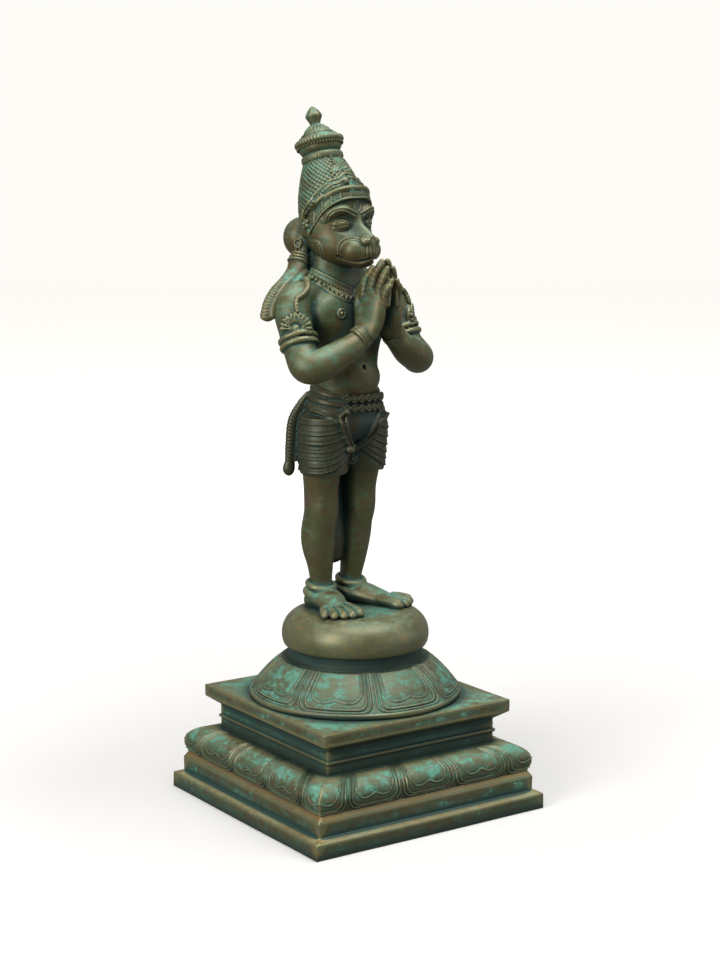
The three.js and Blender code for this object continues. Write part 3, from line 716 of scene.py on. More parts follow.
class Wax:
    """A block of casting wax on a grid, in the figure's own mm: how far outside its surface each point lies.
    Where no form comes near, that is the value far."""

    far = 30.0

    def __init__(self, low, high, step):
        self.low, self.step = np.array(low, float), step
        self.axes = [np.arange(a, b + step, step, dtype=np.float32) for a, b in zip(low, high)]
        self.out = np.full([len(axis) for axis in self.axes], self.far, np.float32)

    def window(self, low, high):
        """The grid points between two corners: where they are kept, and their open coordinates."""
        cut = tuple(slice(*np.searchsorted(axis, (a, b))) for axis, a, b in zip(self.axes, low, high))
        shapes = ((-1, 1, 1), (1, -1, 1), (1, 1, -1))
        return cut, [axis[c].reshape(shape) for axis, c, shape in zip(self.axes, cut, shapes)]

    def press(self, cut, form, blend, carve=False):
        """Adds a form to the wax or carves it away, with a soft join blend mm wide."""
        old = self.out[cut]
        if not old.size:
            return
        other = -form if carve else form
        ease = np.maximum(blend - np.abs(old - other), 0) ** 2 / (4 * blend)
        self.out[cut] = np.maximum(old, other) + ease if carve else np.minimum(old, other) - ease

    def bar(self, points, radii, blend=1.0, carve=False, spread=(1, 0, 0), flat=1.0):
        """A round bar along points, its section flat times as wide along spread."""
        points = np.asarray(points, float)
        radii = np.broadcast_to(np.asarray(radii, float), len(points))
        pad = blend + 2 * self.step
        reach = radii.max() * max(flat, 1) + pad
        cut, (x, y, z) = self.window(points.min(0) - reach, points.max(0) + reach)
        form = np.full([s.stop - s.start for s in cut], self.far, np.float32)
        if not form.size:
            return
        first = [s.start for s in cut]
        wide = np.array(spread, float) / np.linalg.norm(spread)
        gain = 1 / flat**2 - 1
        for p, q, r, s in zip(points[:-1], points[1:], radii[:-1], radii[1:]):
            near = max(r, s) * max(flat, 1) + pad
            part, (u, v, w) = self.window(np.minimum(p, q) - near, np.maximum(p, q) + near)
            if any(c.stop <= c.start for c in part):
                continue
            u, v, w = u - p[0], v - p[1], w - p[2]
            run = q - p
            length = run @ run + gain * (run @ wide) ** 2 + 1e-12
            along = u * run[0] + v * run[1] + w * run[2]
            square = u * u + v * v + w * w
            if gain:
                sideways = u * wide[0] + v * wide[1] + w * wide[2]
                along = along + gain * (run @ wide) * sideways
                square = square + gain * sideways**2
            share = np.clip(along / length, 0, 1)
            apart = np.sqrt(np.maximum(square - 2 * share * along + share**2 * length, 0))
            here = tuple(slice(c.start - f, c.stop - f) for c, f in zip(part, first))
            np.minimum(form[here], apart - (r + share * (s - r)), out=form[here])
        self.press(cut, form, blend, carve)

    def limb(self, stations, blend, **how):
        """A soft bar through stations [x, y, z, radius]."""
        line = smooth_line(stations)
        self.bar(line[:, :3], line[:, 3], blend, **how)

    def notched(self, stations, pitch, depth, ends, spread=(1, 0, 0), flat=1.0):
        """Cuts rings at even steps round a soft bar through stations."""
        line = smooth_line(stations, 24)
        run = run_along(line[:, :3])
        for length in np.arange(ends[0] * run[-1] + pitch, ends[1] * run[-1], pitch):
            x, y, z, radius = (np.interp(length, run, line[:, k]) for k in range(4))
            k = np.searchsorted(run, length)
            radii = (radius * flat + 0.1, radius + 0.1)
            axis = line[k, :3] - line[k - 1, :3]
            self.ring((x, y, z), radii, depth, across=spread, axis=axis, blend=0.2, pieces=24, carve=True)

    def ball(self, centre, radii, blend, carve=False, turn=0.0, tilt=0.0):
        """An egg with three half-widths, tilted about x and turned about the upright, in degrees."""
        centre, radii = np.array(centre, float), np.array(radii, float)
        reach = radii.max() + blend + 2 * self.step
        cut, xyz = self.window(centre - reach, centre + reach)
        x, y, z = (v - c for v, c in zip(xyz, centre))
        turned = Matrix.Rotation(math.radians(turn), 3, "Z")
        spin = np.array(turned @ Matrix.Rotation(math.radians(tilt), 3, "X"))
        local = [x * spin[0, k] + y * spin[1, k] + z * spin[2, k] for k in range(3)]
        near = np.sqrt(sum((v / r) ** 2 for v, r in zip(local, radii))) + 1e-6
        steep = np.sqrt(sum((v / r**2) ** 2 for v, r in zip(local, radii))) + 1e-6
        self.press(cut, near * (near - 1) / steep, blend, carve)

    def ring(self, centre, radii, tube, axis, blend, across=(1, 0, 0), arc=(0, 360), pieces=48, **how):
        """A ring, or an arc of one, of a round wire."""
        axis = np.array(axis, float) / np.linalg.norm(axis)
        across = np.array(across, float) - axis * (np.array(across) @ axis)
        across /= np.linalg.norm(across)
        third = np.cross(axis, across)
        turn = np.radians(np.linspace(*arc, pieces + 1))[:, None]
        line = np.array(centre) + radii[0] * np.cos(turn) * across + radii[1] * np.sin(turn) * third
        self.bar(line, tube, blend, **how)

    def hoop(self, spot, way, radius, tube, blend=0.3, pieces=24):
        """A small round wire lying flat on the wax, way pointing out of it."""
        self.ring(spot, (radius, radius), tube, axis=way, across=(0, 0, 1), blend=blend, pieces=pieces)

    def column(self, stations, detail=None, x=0.0, lean=0.0, pitch=0.0, blend=2.0):
        """An upright form in stations [y, z, half-width, half-depth], carved by detail(turn, height).
        turn is 0 at the front and grows toward +x. It leans as the cloth or the hips do."""
        line = smooth_line(stations)
        heights = line[:, 1]
        wide = line[:, 2].max() + blend + 4
        deep = line[:, 3].max() + blend + 4
        middle = line[:, 0].mean()
        slack = abs(lean) * wide + abs(pitch) * deep
        cut, (u, v, w) = self.window(
            (x - wide, middle - deep - 4, heights.min() - slack - blend - 2),
            (x + wide, middle + deep + 4, heights.max() + slack + blend + 2),
        )
        u = u - x
        height = w - lean * u - pitch * (v - middle)
        y, a, b = (np.interp(height, heights, line[:, k]).astype(np.float32) for k in (0, 2, 3))
        v = v - y
        near = np.sqrt((u / a) ** 2 + (v / b) ** 2) + 1e-6
        steep = np.sqrt((u / a**2) ** 2 + (v / b**2) ** 2) + 1e-6
        form = near * (near - 1) / steep
        if detail is not None:
            form = form - detail(np.arctan2(u / a, -v / b), height)
        form = np.maximum(form, np.maximum(height - heights.max(), heights.min() - height))
        self.press(cut, form, blend)

    def at(self, points):
        """How far outside the wax points lie."""
        spots = (points - self.low) / self.step
        beyond = ((spots < 0) | (spots > np.array(self.out.shape) - 1)).any(1)
        return np.where(beyond, self.far, sample(self.out, spots))

    def outward(self, points):
        """The way out of the wax at points on it."""
        slope = np.stack([self.at(points + step) - self.at(points - step) for step in np.eye(3)], 1)
        return slope / (np.linalg.norm(slope, axis=1)[:, None] + 1e-9)

    def met(self, marks, pieces=5):
        """Where a line seen from the camera first lies on the wax. Its marks are mm [across, up] on the
        upright plane through the figure's middle that faces the camera."""
        search = 66
        line = smooth_line(marks, pieces) if len(marks) > 1 else np.array(marks, float)
        plane = line[:, :1] * view_across + line[:, 1:] * (0, 0, 1)
        ways = plane - eye
        ways /= np.linalg.norm(ways, axis=1)[:, None]
        reach = np.arange(-search, search, self.step)
        spots = plane[:, None] + reach[:, None] * ways[:, None]
        out = self.at(spots.reshape(-1, 3)).reshape(len(line), -1)
        inside = out < 0
        first = np.where(inside.any(1), inside.argmax(1), out.argmin(1)).clip(1)
        rows = np.arange(len(line))
        before, after = out[rows, first - 1], out[rows, first]
        share = np.clip(before / (before - after + 1e-9), 0, 1)
        return spots[rows, first - 1] + ways * (share * self.step)[:, None]

    def drawn(self, marks, tube, lift=0.0, both=True, **how):
        """A wire laid, or a groove cut, along such a line, and the same on the other side."""
        points = self.met(marks)
        points = points + self.outward(points) * lift
        for side in (1, -1) if both else (1,):
            self.bar(points * (side, 1, 1), tube, **{"blend": 0.4, **how})

    def spot(self, mark):
        """One mark on the wax and the way out there, on the side that shows and on the other."""
        point = self.met([mark])
        way = self.outward(point)
        return [(point[0] * (side, 1, 1), way[0] * (side, 1, 1)) for side in (1, -1)]

    def cast(self, name, material, rounds=(10, 60)):
        """Turns the wax to bronze: a smooth closed mesh in the part's frame, attached to the root body."""
        grid = openvdb.FloatGrid(self.far)
        grid.copyFromArray(np.clip(self.out, -3, 3))
        points, _, faces = grid.convertToPolygons()
        points = points * self.step + self.low
        turned = np.array(figure_place.to_3x3()) @ points.T
        points = turned.T + np.array(figure_place.translation)
        piece = piece_from(name, points, faces, material)
        measure_relief_and_shade(piece, *rounds)
        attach(piece, "root")
        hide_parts("hanuman_on_lotus")
        return piece


legs = Wax((-46, -30, -3), (46, 40, 116), 0.86)
leg = [
    [16, 14, 120, 13.4],
    [17.6, 15.5, 100, 13.2],
    [17, 17, 82, 11.6],
    [16.6, 18.4, 64, 10.7],
    [16, 20.6, 46, 10.9],
    [14.9, 20.8, 31, 8.9],
    [13.4, 21.6, 18, 7.4],
    [13.2, 21.8, 8, 7.8],
    [13.4, 22.4, -1, 8.2],
]
foot = [
    [13, 29.5, 2.0, 3.6],
    [13.2, 23, 4.4, 7.4],
    [15.2, 13, 5.6, 7.4],
    [19, 2, 3.6, 6.3],
    [22.5, -6.5, 1.6, 5],
    [24, -10, 1, 3.6],
]
toes = [
    ([15.5, -6], [17.8, -22], 4.1),
    ([20.4, -7], [23.8, -22.2], 3.3),
    ([24.6, -6], [29.2, -19.8], 3.1),
    ([28.4, -4], [34.2, -15.8], 3.0),
    ([31.4, -1], [38.2, -10.4], 2.8),
]
anklets = [(14.2, 8.8, 2.0), (8.6, 9.8, 2.6)]
for side in (-1, 1):
    legs.limb(mirrored(leg, side), blend=3)
    legs.ball((side * 16.6, 12, 66), (6, 2.6, 8), blend=7)
    legs.ball((side * 15.2, 26, 48), (6.6, 5.6, 15), blend=8)
    legs.limb(mirrored(foot, side), blend=4, spread=(1, 0.3 * side, 0), flat=1.5)
    for root, tip, thick in toes:
        root, tip = np.array(root), np.array(tip)
        middle, ball = (root + tip) / 2, root + 0.86 * (tip - root)
        toe = [
            [*root, 3.8, thick * 0.9],
            [*middle, 3.4, thick * 0.92],
            [*ball, 2.2, thick * 0.95],
            [*tip, 1.5, thick * 0.5],
        ]
        legs.limb(mirrored(toe, side), blend=0.8)
        nail = mirrored([[*(ball * 0.55 + tip * 0.45), 2.6 + thick * 0.62]], side)[0]
        legs.ball(nail, (thick * 0.42, thick * 0.55, 0.6), blend=0.3, turn=-side * 22, tilt=-18)
    for height, radius, tube in anklets:
        legs.ring((side * 13.3, 21.6, height), (radius, radius), tube, axis=(0, -0.22, 1), blend=0.8)
feet_bronze = patina("feet_patina", green=-0.07, ochre=0.2, seed=5.2, pool=0.16)
legs.cast("legs_and_feet", feet_bronze)


# Short cloth: pleated thin linen over the thighs, rolled round the hips, with a belt of rosettes, double
# cords looped to a knot and a ring, and two hatched sash ends behind. All was modelled in wax on the legs.
cloth = Wax((-44, -20, 24), (44, 46, 156), 0.7)
pleat_lines = [93.4, 97.9, 102.3, 107.4, 112.7, 118.8, 125.4, 132]


def pleated(side):
    """The pleats round one thigh: they lap like shingles and rise toward the middle of the lap."""
    hem = 90

    def lap(turn, height):
        inward = np.clip((-side * turn + 0.95) / 1.35, 0, 1.25) * (np.abs(turn) < 2.2)
        lifted = height - (10.5 - 0.2 * (height - 92)) * inward**2
        tier = np.interp(lifted, pleat_lines, range(len(pleat_lines))) - 0.02
        share = tier - np.floor(tier)
        lapped = 0.45 * (1 - share) ** 1.3 + 0.65 * np.exp(-(((share - 0.1) / 0.08) ** 2))
        lapped = lapped - 0.45 * (share > 0.9) + 0.3 * np.exp(-(((share - 0.52) / 0.09) ** 2))
        return lapped * np.clip((lifted - hem) / 1.5, 0, 1)

    return lap


def rolled(turn, height):
    """Four rolls of cloth round the hips, flat in front under the belt."""
    roll = np.interp(height, [126, 131.4, 137.8, 143, 148.4], range(5))
    share = np.abs(np.sin(np.pi * roll))
    beside = np.clip((np.abs(turn) - 0.5) / 0.15, 0, 1)
    return (1.8 * np.sqrt(share) - 0.5) * beside * (height > 126)


thigh_wrap = [
    [15.2, 91.4, 15.8, 16.4],
    [15, 100, 16.4, 16.8],
    [14.6, 110, 17, 17.2],
    [14, 120, 17.2, 17.4],
    [13.6, 130, 16, 16],
]
hip_wrap = [
    [14, 115, 24, 14],
    [13, 122, 29.8, 19.4],
    [12.8, 127, 29.8, 21.6],
    [12.6, 134, 27.6, 21],
    [12.3, 142, 25, 20],
    [12, 148, 22.6, 18.6],
]
front_fall = [[0, 1.2, 133, 4.5], [0, 4.8, 124, 5.4], [0, 8.4, 113, 5.4], [0, 11.5, 104, 5]]
rear_fall = [
    [0, 28, 122, 6.5],
    [0, 30, 104, 7.2],
    [0, 28.4, 88, 7.6],
    [0, 28, 77, 7.6],
    [0, 26.6, 56, 7.8],
    [0, 25.6, 42, 7.8],
    [0, 25, 33, 6.4],
]
wrap_edges = [
    [(-31, 131.9), (-29.2, 131.6), (-24.6, 130.3), (-18.1, 127), (-13.5, 123.6)],
    [(-24, 151.4), (-18, 150.4), (-13.5, 149.4), (-10.2, 147.4), (-7.6, 144.8), (-6.6, 141.5), (-6.8, 133)],
]
for side in (-1, 1):
    cloth.column(thigh_wrap, pleated(side), x=side * 16.4, lean=side * -0.07, pitch=0.04, blend=1.0)
cloth.column(hip_wrap, rolled, pitch=0.17, blend=1.4)
cloth.limb(front_fall, blend=1.5, flat=1.9)
cloth.limb(rear_fall, blend=3, flat=1.5)
for row in wrap_edges:
    cloth.drawn(row, 0.9, lift=0.2)
belt_turns = [k * 0.2 for k in range(-3, 4)]
belt_middle, belt_wide, belt_deep, belt_rows = 12.6, 25.6, 21.6, (143.2, 137)
for height in belt_rows:
    for turn in belt_turns:
        spot = np.array((belt_wide * math.sin(turn), belt_middle - belt_deep * math.cos(turn), height - 2.2))
        outward = np.array((math.sin(turn), -math.cos(turn), 0.1))
        cloth.ball(spot - outward * 0.4, (2.7, 2.7, 2.6), blend=1.4)
        cloth.hoop(spot + outward * 2.0, outward, 2.2, 0.55, pieces=16)
        cloth.ball(spot + outward * 2.3, (0.8, 0.8, 0.8), blend=0.3)
cords = [
    [(-7, 132.3), (-9.6, 129.7), (-11.6, 127), (-10.3, 123.1),
     (-9.6, 119.1), (-8.6, 114.5), (-7, 109.8), (-5.7, 107.2)],
    [(-6.3, 131), (-7.6, 125.7), (-7, 119.1), (-5.7, 113.8), (-4.4, 109.2)],
    [(19, 129.6), (17.2, 127), (14.6, 125.7), (12.6, 121.1),
     (10, 116.5), (6.1, 111.8), (1.5, 108.5), (-2.6, 106.5)],
    [(14, 132.4), (13.3, 131), (12, 127), (10.7, 123.1),
     (7.4, 117.8), (2.8, 112.5), (-0.5, 109.8), (-3.1, 108.5)],
]
cord_radius, cord_twist = 1.45, 2.2
for line in cords:
    points = cloth.met(line, 8)
    points = points + cloth.outward(points) * 0.7
    twist = 0.2 * np.sin(2 * np.pi * run_along(points) / cord_twist)
    cloth.bar(points, cord_radius + twist, blend=0.3)
knot, ring = cloth.spot((-4.8, 106.4))[0], cloth.spot((-4.4, 100.4))[0]
cloth.ball(knot[0] + knot[1] * 0.6, (3.6, 2.8, 2.6), blend=0.8)
cloth.ball(ring[0], (4.4, 4.6, 4.2), blend=1.2)
front = np.array((-0.6, -0.8, 0))
cloth.hoop(ring[0] + front * 4.0, front, 2.9, 0.8, blend=0.4)
cloth.ball(ring[0] + front * 4.2, (1.3, 1.3, 1.3), blend=0.4)
sash = [
    [24, 22, 143, 1.8],
    [27.4, 26.6, 134, 3.2],
    [30, 30.2, 124, 3.7],
    [30.6, 31.8, 108, 3.7],
    [30.8, 32.4, 98, 3.5],
    [31.4, 32.8, 93.2, 4.0],
    [31.4, 32.8, 91.4, 3.2],
]
sash_fold = [[x - 2.4, y - 3.0, z + 1.0, 1.3] for x, y, z, _ in sash[1:5]]
for side in (-1, 1):
    edge = np.array((0.5, -side * 0.8, 0))
    cloth.limb(mirrored(sash, side), blend=0.8, spread=edge, flat=0.8)
    cloth.notched(mirrored(sash, side), 2.3, 0.55, spread=edge, flat=0.8, ends=(0.12, 0.9))
    cloth.limb(mirrored(sash_fold, side), blend=0.5)
# The cloth is taken most of the way to near black: partly its darker bronze, partly painted shade from the
# raised arms.
cloth_bronze = patina("cloth_patina", green=-0.06, ochre=0.1, dark=0.74, seed=9.4)
draped = cloth.cast("cloth_and_sash", cloth_bronze)

# Between the thighs the lap is a deep hollow, which the block of shade is too coarse to tell, so more
# painted shade is added there where the cloth is not proud.
count = len(draped.data.vertices)
told = {key: np.empty(count, np.float32) for key in ("occlusion_shade", "relief")}
for key, values in told.items():
    draped.data.attributes[key].data.foreach_get("value", values)
places = np.empty(count * 3, np.float32)
draped.data.vertices.foreach_get("co", places)
lap_place, lap_size = np.array(figure_place @ Vector((0, -4, 121))), (9, 9, 12)
lap_shade, lap_proud = 0.32, 0.08
apart = (places.reshape(-1, 3) / MM - lap_place) / lap_size
told["occlusion_shade"] += lap_shade * np.exp(-((apart**2).sum(1) ** 2)) * (told["relief"] < lap_proud)
draped.data.attributes["occlusion_shade"].data.foreach_set("value", told["occlusion_shade"])


# Torso and arms: a slim waist, full chest and round shoulders, the forearms raised to the joined palms.
# Built up in wax over one core; the collar, armlets, rosettes and navel were pressed in before casting.
body = Wax((-64, -26, 124), (64, 46, 236), 0.86)
trunk = [
    [12, 126, 24, 19.5],
    [10.6, 146, 21.4, 18],
    [10.2, 152, 21.2, 18],
    [10.4, 160, 21.6, 17.6],
    [11, 170, 24, 17.4],
    [12, 180, 28.5, 18],
    [13.2, 190, 33, 18],
    [15, 199, 35.5, 16.6],
    [17, 206, 34, 15.4],
    [18.6, 212, 26.5, 14.4],
    [19.4, 218, 21.6, 13.6],
    [20, 224, 18.6, 12.8],
    [20, 234, 17, 12.2],
]
arm = [
    [25, 18, 207.4, 9.4],
    [37.4, 17.2, 205.2, 11.2],
    [43, 14.6, 198.4, 11.8],
    [44.6, 9.4, 186, 11],
    [46.4, 2.6, 173, 10.6],
    [48, -5.4, 164.8, 10.8],
    [42, -11, 165.6, 10.4],
    [32, -13.6, 170, 9.6],
    [22.5, -16.8, 175.6, 8.2],
    [15.6, -18.2, 180.2, 6.8],
    [12, -19.4, 184.4, 6.0],
]
body.column(trunk, blend=2)
for side in (-1, 1):
    body.ball((side * 15.4, 4.4, 197), (15, 6.4, 11.5), blend=7)
    body.limb(mirrored(arm, side), blend=3.5)
body.ball((0, -6.2, 154), (12, 4, 9), blend=8)
for spot, way in body.spot((-10.5, 195.3)):
    body.ball(spot - way * 0.9, (3.4, 1.6, 3.4), blend=0.8)
    body.hoop(spot + way * 0.7, way, 2.8, 0.62)
    body.ball(spot + way * 0.8, (1.2, 1.1, 1.2), blend=0.3)
navel = body.spot((4.6, 160.5))[0]
body.ball(navel[0], (1.5, 3.0, 1.7), blend=0.7, carve=True)
collar_top = [
    (-30, 224.4), (-27.5, 223), (-23, 220.8), (-17.9, 218.2),
    (-12.7, 215.6), (-7.5, 213.1), (-3.7, 211.1), (0.6, 209.4),
]
collar_low = [
    (-31.6, 220), (-27.6, 216.3), (-24.3, 213.1), (-20.5, 210.8), (-16.6, 207.9),
    (-12.7, 206), (-8.8, 204), (-5, 202.7), (0.6, 201.6),
]
fill_low = (219.6, 216.2, 212.4, 208.8, 206, 203.6, 202.2, 201.6)
for share in (0.28, 0.62):
    row = [(s, z + share * (low - z)) for (s, z), low in zip(collar_top, fill_low)]
    body.drawn(row, 2.2, lift=-0.9, blend=1.5)
body.drawn(collar_top, 0.85, lift=0.5)
body.drawn(collar_low, 0.75, lift=0.4)
body.ring((0, 18, 216), (23, 15.6), 2.6, axis=(0, -0.45, 0.89), arc=(8, 172), blend=1.5)
armlet_axis = np.array((1.8, -6.6, -12.6))
armlets = [((45.8, 4.7, 177.2), 11.0, 1.9), ((45.2, 6.8, 181.2), 11.1, 1.95)]
flower_rays = 12
for side in (-1, 1):
    axis = armlet_axis * (side, 1, 1)
    for centre, radius, tube in armlets:
        body.ring(np.array(centre) * (side, 1, 1), (radius, radius), tube, axis=axis, blend=0.5)
    outward = np.array((side * 0.70, -0.71, 0.05))
    level = np.array((side * 0.71, 0.70, 0.12))
    upright = np.cross(outward, level)
    upright *= np.sign(upright[2])
    heart = np.array((side * 51.0, 2.0, 188.6))
    body.ball(heart - outward * 2.4 + upright, (9.4, 3.2, 9.2), blend=0.8, turn=side * 45)
    for k in range(flower_rays):
        turn = math.radians(-8 + 196 * k / (flower_rays - 1))
        way = level * math.cos(turn) + upright * math.sin(turn)
        ray = [heart + outward * 1.2 + way * 4.6, heart + outward * 0.2 + way * 9.4]
        body.bar(ray, [0.6, 1.15], blend=0.2)
    rim = heart + outward * 1.3
    body.ring(rim, (3.9, 3.9), 0.6, axis=outward, across=level, arc=(-10, 190), blend=0.3, pieces=24)
    body.ball(heart + outward * 0.9, (2.7, 2.2, 2.5), blend=0.4, turn=side * 45)
    slot = [heart + outward * 2.0 - upright * 3.0 + level * k for k in (-6.4, 6.4)]
    body.bar(slot, 0.85, blend=0.4, carve=True)
cap_line = [(-37.2, 216.9), (-45, 213.7), (-50.2, 209.8), (-52.8, 204.7), (-53.5, 197.6), (-52.9, 191.7)]
body.drawn(cap_line, 0.8, lift=0.2, carve=True)
torso_bronze = patina("torso_patina", green=-0.03, ochre=0.2, seed=2.6)
body.cast("torso_and_arms", torso_bronze, (8, 45))


# Beads: small beads strung in a row round the collar, with a row of longer ones hanging below.
# Each was rolled in wax, set on the bust and cast with it.
def beads_tree():
    """Beads at even steps along lines, stretched upward."""
    sizes = {"Step": "Float", "Round": "Float", "Tall": "Float"}
    start, (lines, step, size, tall, finish) = open_tree("bead_rows", sizes)
    curve = start.put("GeometryNodeMeshToCurve", inputs={"Mesh": lines})
    even = start.put("GeometryNodeResampleCurve", {"mode": "LENGTH"}, {"Curve": curve, "Length": step})
    bead = start.put("GeometryNodeMeshUVSphere", inputs={"Segments": 12, "Rings": 8, "Radius": size})
    stretch = start.put("ShaderNodeCombineXYZ", inputs={"X": 1.0, "Y": 1.0, "Z": tall})
    strung = {"Points": even, "Instance": bead, "Scale": stretch}
    placed = start.put("GeometryNodeInstanceOnPoints", inputs=strung)
    real = start.put("GeometryNodeRealizeInstances", inputs={"Geometry": placed})
    smooth = start.put("GeometryNodeSetShadeSmooth", inputs={"Geometry": real})
    return close_tree(start, smooth, finish)


bead_rows = beads_tree()


def beaded(name, lines, step, size, tall=1.0):
    """Rows of beads along lines in the figure's own mm, as a piece of its own."""
    points = np.vstack(lines)
    count, edges = 0, []
    for line in lines:
        edges += [(count + k, count + k + 1) for k in range(len(line) - 1)]
        count += len(line)
    turned = np.array(figure_place.to_3x3()) @ points.T
    mesh = bpy.data.meshes.new(name)
    mesh.from_pydata(((turned.T + np.array(figure_place.translation)) * MM).tolist(), edges, [])
    piece = bpy.data.objects.new(name, mesh)
    bpy.context.scene.collection.objects.link(piece)
    values = {"Step": step * MM, "Round": size * MM, "Tall": tall, "Finish": torso_bronze}
    worked_out(piece, bead_rows, values)
    measure_relief_and_shade(piece, 3, 6)
    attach(piece, "root")
    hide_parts("hanuman_on_lotus")


def collar_row(marks, lift):
    """A row seen from the camera, laid on the chest, and the same on the other side."""
    points = body.met(marks)
    points = points + body.outward(points) * lift
    return [points, points * (-1, 1, 1)]


collar_mid = [(-29.5, 220.8), (-24.3, 217.6), (-19.2, 215), (-14, 212.4), (-8.8, 210.2), (-4.3, 208.4)]
collar_drops = [
    (-29, 218), (-25, 215.3), (-21.1, 212.8), (-17.2, 210.3), (-13.4, 208.2), (-9.5, 206.2), (-4.6, 205),
]
beaded("collar_beads", collar_row(collar_mid, 0.3), 1.9, 0.85)
beaded("collar_drops", collar_row(collar_drops, 0.3), 3.1, 1.25, 1.35)


# Joined palms: two flat hands pressed together, ringed fingers parted by deep grooves, thumbs to the chest.
# Four thin bracelets close each wrist and hide where the hands were waxed on to the forearms.
hands = Wax((-24, -42, 172), (24, -1, 238), 0.52)
palm = [[10.4, -19.6, 185, 5.4], [7.8, -21, 192, 5.8], [6.4, -22, 201, 5.6], [5.2, -22.6, 208, 4.4]]
wrist = [[17.8, -17.6, 178, 6.7], [14, -18.8, 182.4, 6.4], [10.6, -19.8, 187, 6.2]]
web = [[3.6, -22.4, 203, 2.6], [2.6, -24.2, 214, 2.2], [1.6, -25.4, 222, 1.2]]
thumb = [[8.6, -14, 190, 4.2], [6.4, -8.8, 199, 3.6], [5, -7.4, 207, 2.9], [3.4, -8.2, 214, 1.6]]
fingers = [
    (-11.6, -12.6, -16.6, 227.4, 2.4),
    (-18.2, -20.6, -25.6, 231.6, 2.5),
    (-25, -28, -30.4, 227.4, 2.4),
    (-31, -33.4, -34.4, 219.8, 2.2),
]
for side in (-1, 1):
    hands.limb(mirrored(palm, side), blend=3, spread=(0, 1, 0), flat=1.85)
    hands.limb(mirrored(wrist, side), blend=2)
    hands.ball((side * 8.2, -14, 193), (4.6, 4.4, 9), blend=4)
    hands.limb(mirrored(web, side), blend=1, spread=(0, 1, 0), flat=4.6)
    for root, middle, tip, top, thick in fingers:
        finger = [
            [5.6, root, 203, thick * 0.8],
            [5.8, root, 208.6, thick],
            [4.8, middle, (208.6 + top) / 2, thick],
            [3.4, tip + 0.9, top - 4.4, thick * 0.9],
            [2.4, tip, top - 1.2, thick * 0.6],
        ]
        finger = mirrored(finger, side)
        hands.limb(finger, blend=0.3, spread=(0, 1, 0), flat=1.36)
        hands.notched(finger, 3.3, 0.32, spread=(0, 1, 0), flat=1.36, ends=(0.15, 0.9))
    hands.limb(mirrored(thumb, side), blend=1.2)
    wrist_axis = np.array((-side * 0.811, -0.185, 0.554))
    for k, tube in enumerate((0.8, 1.05, 1.05, 0.8)):
        centre = np.array((side * 16.2, -18.3, 180.9)) + wrist_axis * (1.8 * k)
        radii = (7.2 - 0.1 * k, 7.0 - 0.1 * k)
        hands.ring(centre, radii, tube, axis=wrist_axis, across=(0, 0, 1), blend=0.3)
hands.bar([(0, -37, 186), (0, -37.4, 200), (0, -38.6, 220)], 2.2, blend=1.0, carve=True)
hands.cast("joined_palms", torso_bronze)


# Head: a broad monkey face with a jutting muzzle, round cheek pads, heavy brows and ringed ears.
# The lids, brows and muzzle lines are wires of wax laid on, and the mouth is a knife cut.
head = Wax((-28, -24, 216), (28, 69, 280), 0.56)
head.ball((0, 21.5, 252), (23.2, 23, 22), blend=3)
skull = [[22.6, 246, 21.6, 21], [22.7, 256, 22.2, 21.9], [22.8, 266, 21.6, 21.2], [22.8, 275, 19, 18.8]]
head.column(skull, blend=3)
head.ball((0, 14.5, 239.6), (20.4, 19, 15.4), blend=5)
head.ball((0, -1, 236.6), (10.2, 15, 8.8), blend=6, tilt=4)
head.ball((0, -3, 230.6), (8.6, 9, 5.8), blend=4)
head.ball((0, 20, 228), (12.6, 12.2, 11), blend=4)
nose = [
    [0, 4, 257, 4.0],
    [0, 1.6, 251.6, 4.2],
    [0, -3.2, 248.2, 4.2],
    [0, -8.2, 244.8, 4.2],
    [0, -12.2, 241.4, 3.4],
]
brow = [
    [2, 1.6, 258.4, 2.2],
    [7, 1.4, 261.6, 2.6],
    [11.5, 2.8, 262.2, 2.9],
    [16.5, 6.8, 259.8, 2.6],
    [19.6, 11.4, 256, 1.2],
]
head.limb(nose, blend=3.2)
head.bar([(0, -0.8, 256), (0, -3.6, 251.4), (0, -8.2, 248.6), (0, -13.2, 245.2)], 1.3, blend=2.4)
head.ball((0, 53.4, 242.4), (14, 12.5, 13.8), blend=2)
for side in (-1, 1):
    head.ball((side * 7.4, -3.8, 236.2), (7.0, 7.0, 7.4), blend=2.4, turn=side * 28)
    head.ball((side * 4.2, -11.8, 242.2), (3.2, 3.2, 2.6), blend=1.4)
    head.ball((side * 11.6, -1.6, 253.6), (8, 6.6, 5.8), blend=3, carve=True, turn=side * 30)
    head.ball((side * 10.5, 4.2, 252.4), (5.8, 4.2, 3.8), blend=0.8, turn=side * 30)
    head.limb(mirrored(brow, side), blend=2.5)
    head.ball((side * 19.4, 32.8, 238), (3.6, 5, 8.6), blend=1.5, turn=side * -28)
brow_outer = [
    (-21, 254.1), (-19.7, 257.9), (-17.1, 260.8), (-13.3, 262.4),
    (-9.4, 263), (-5.6, 262.4), (-3, 261.1), (-0.4, 259.8),
]
brow_inner = [
    (-19.1, 254.7), (-17.8, 257.7), (-15.2, 260), (-11.3, 261.4),
    (-7.5, 261.1), (-4.9, 259.8), (-1.7, 257.7),
]
lid_top = [
    (-15.8, 252.8), (-13.9, 255.4), (-11.3, 257), (-8.8, 257.3),
    (-6.2, 256), (-4.3, 254.1), (-3.3, 252.8),
]
lid_inner = [(-15.2, 251.6), (-13.3, 254.1), (-10.7, 255.2), (-7.5, 254.7), (-4.9, 252.8)]
lid_low = [(-15.5, 250.3), (-12.6, 249.1), (-8.8, 249), (-6.2, 250), (-4, 251.9)]
pad_outer = [(2.1, 243.2), (-3.6, 244.2), (-8.2, 243.2), (-11.4, 240.7), (-12.7, 237.5), (-12.7, 233.6)]
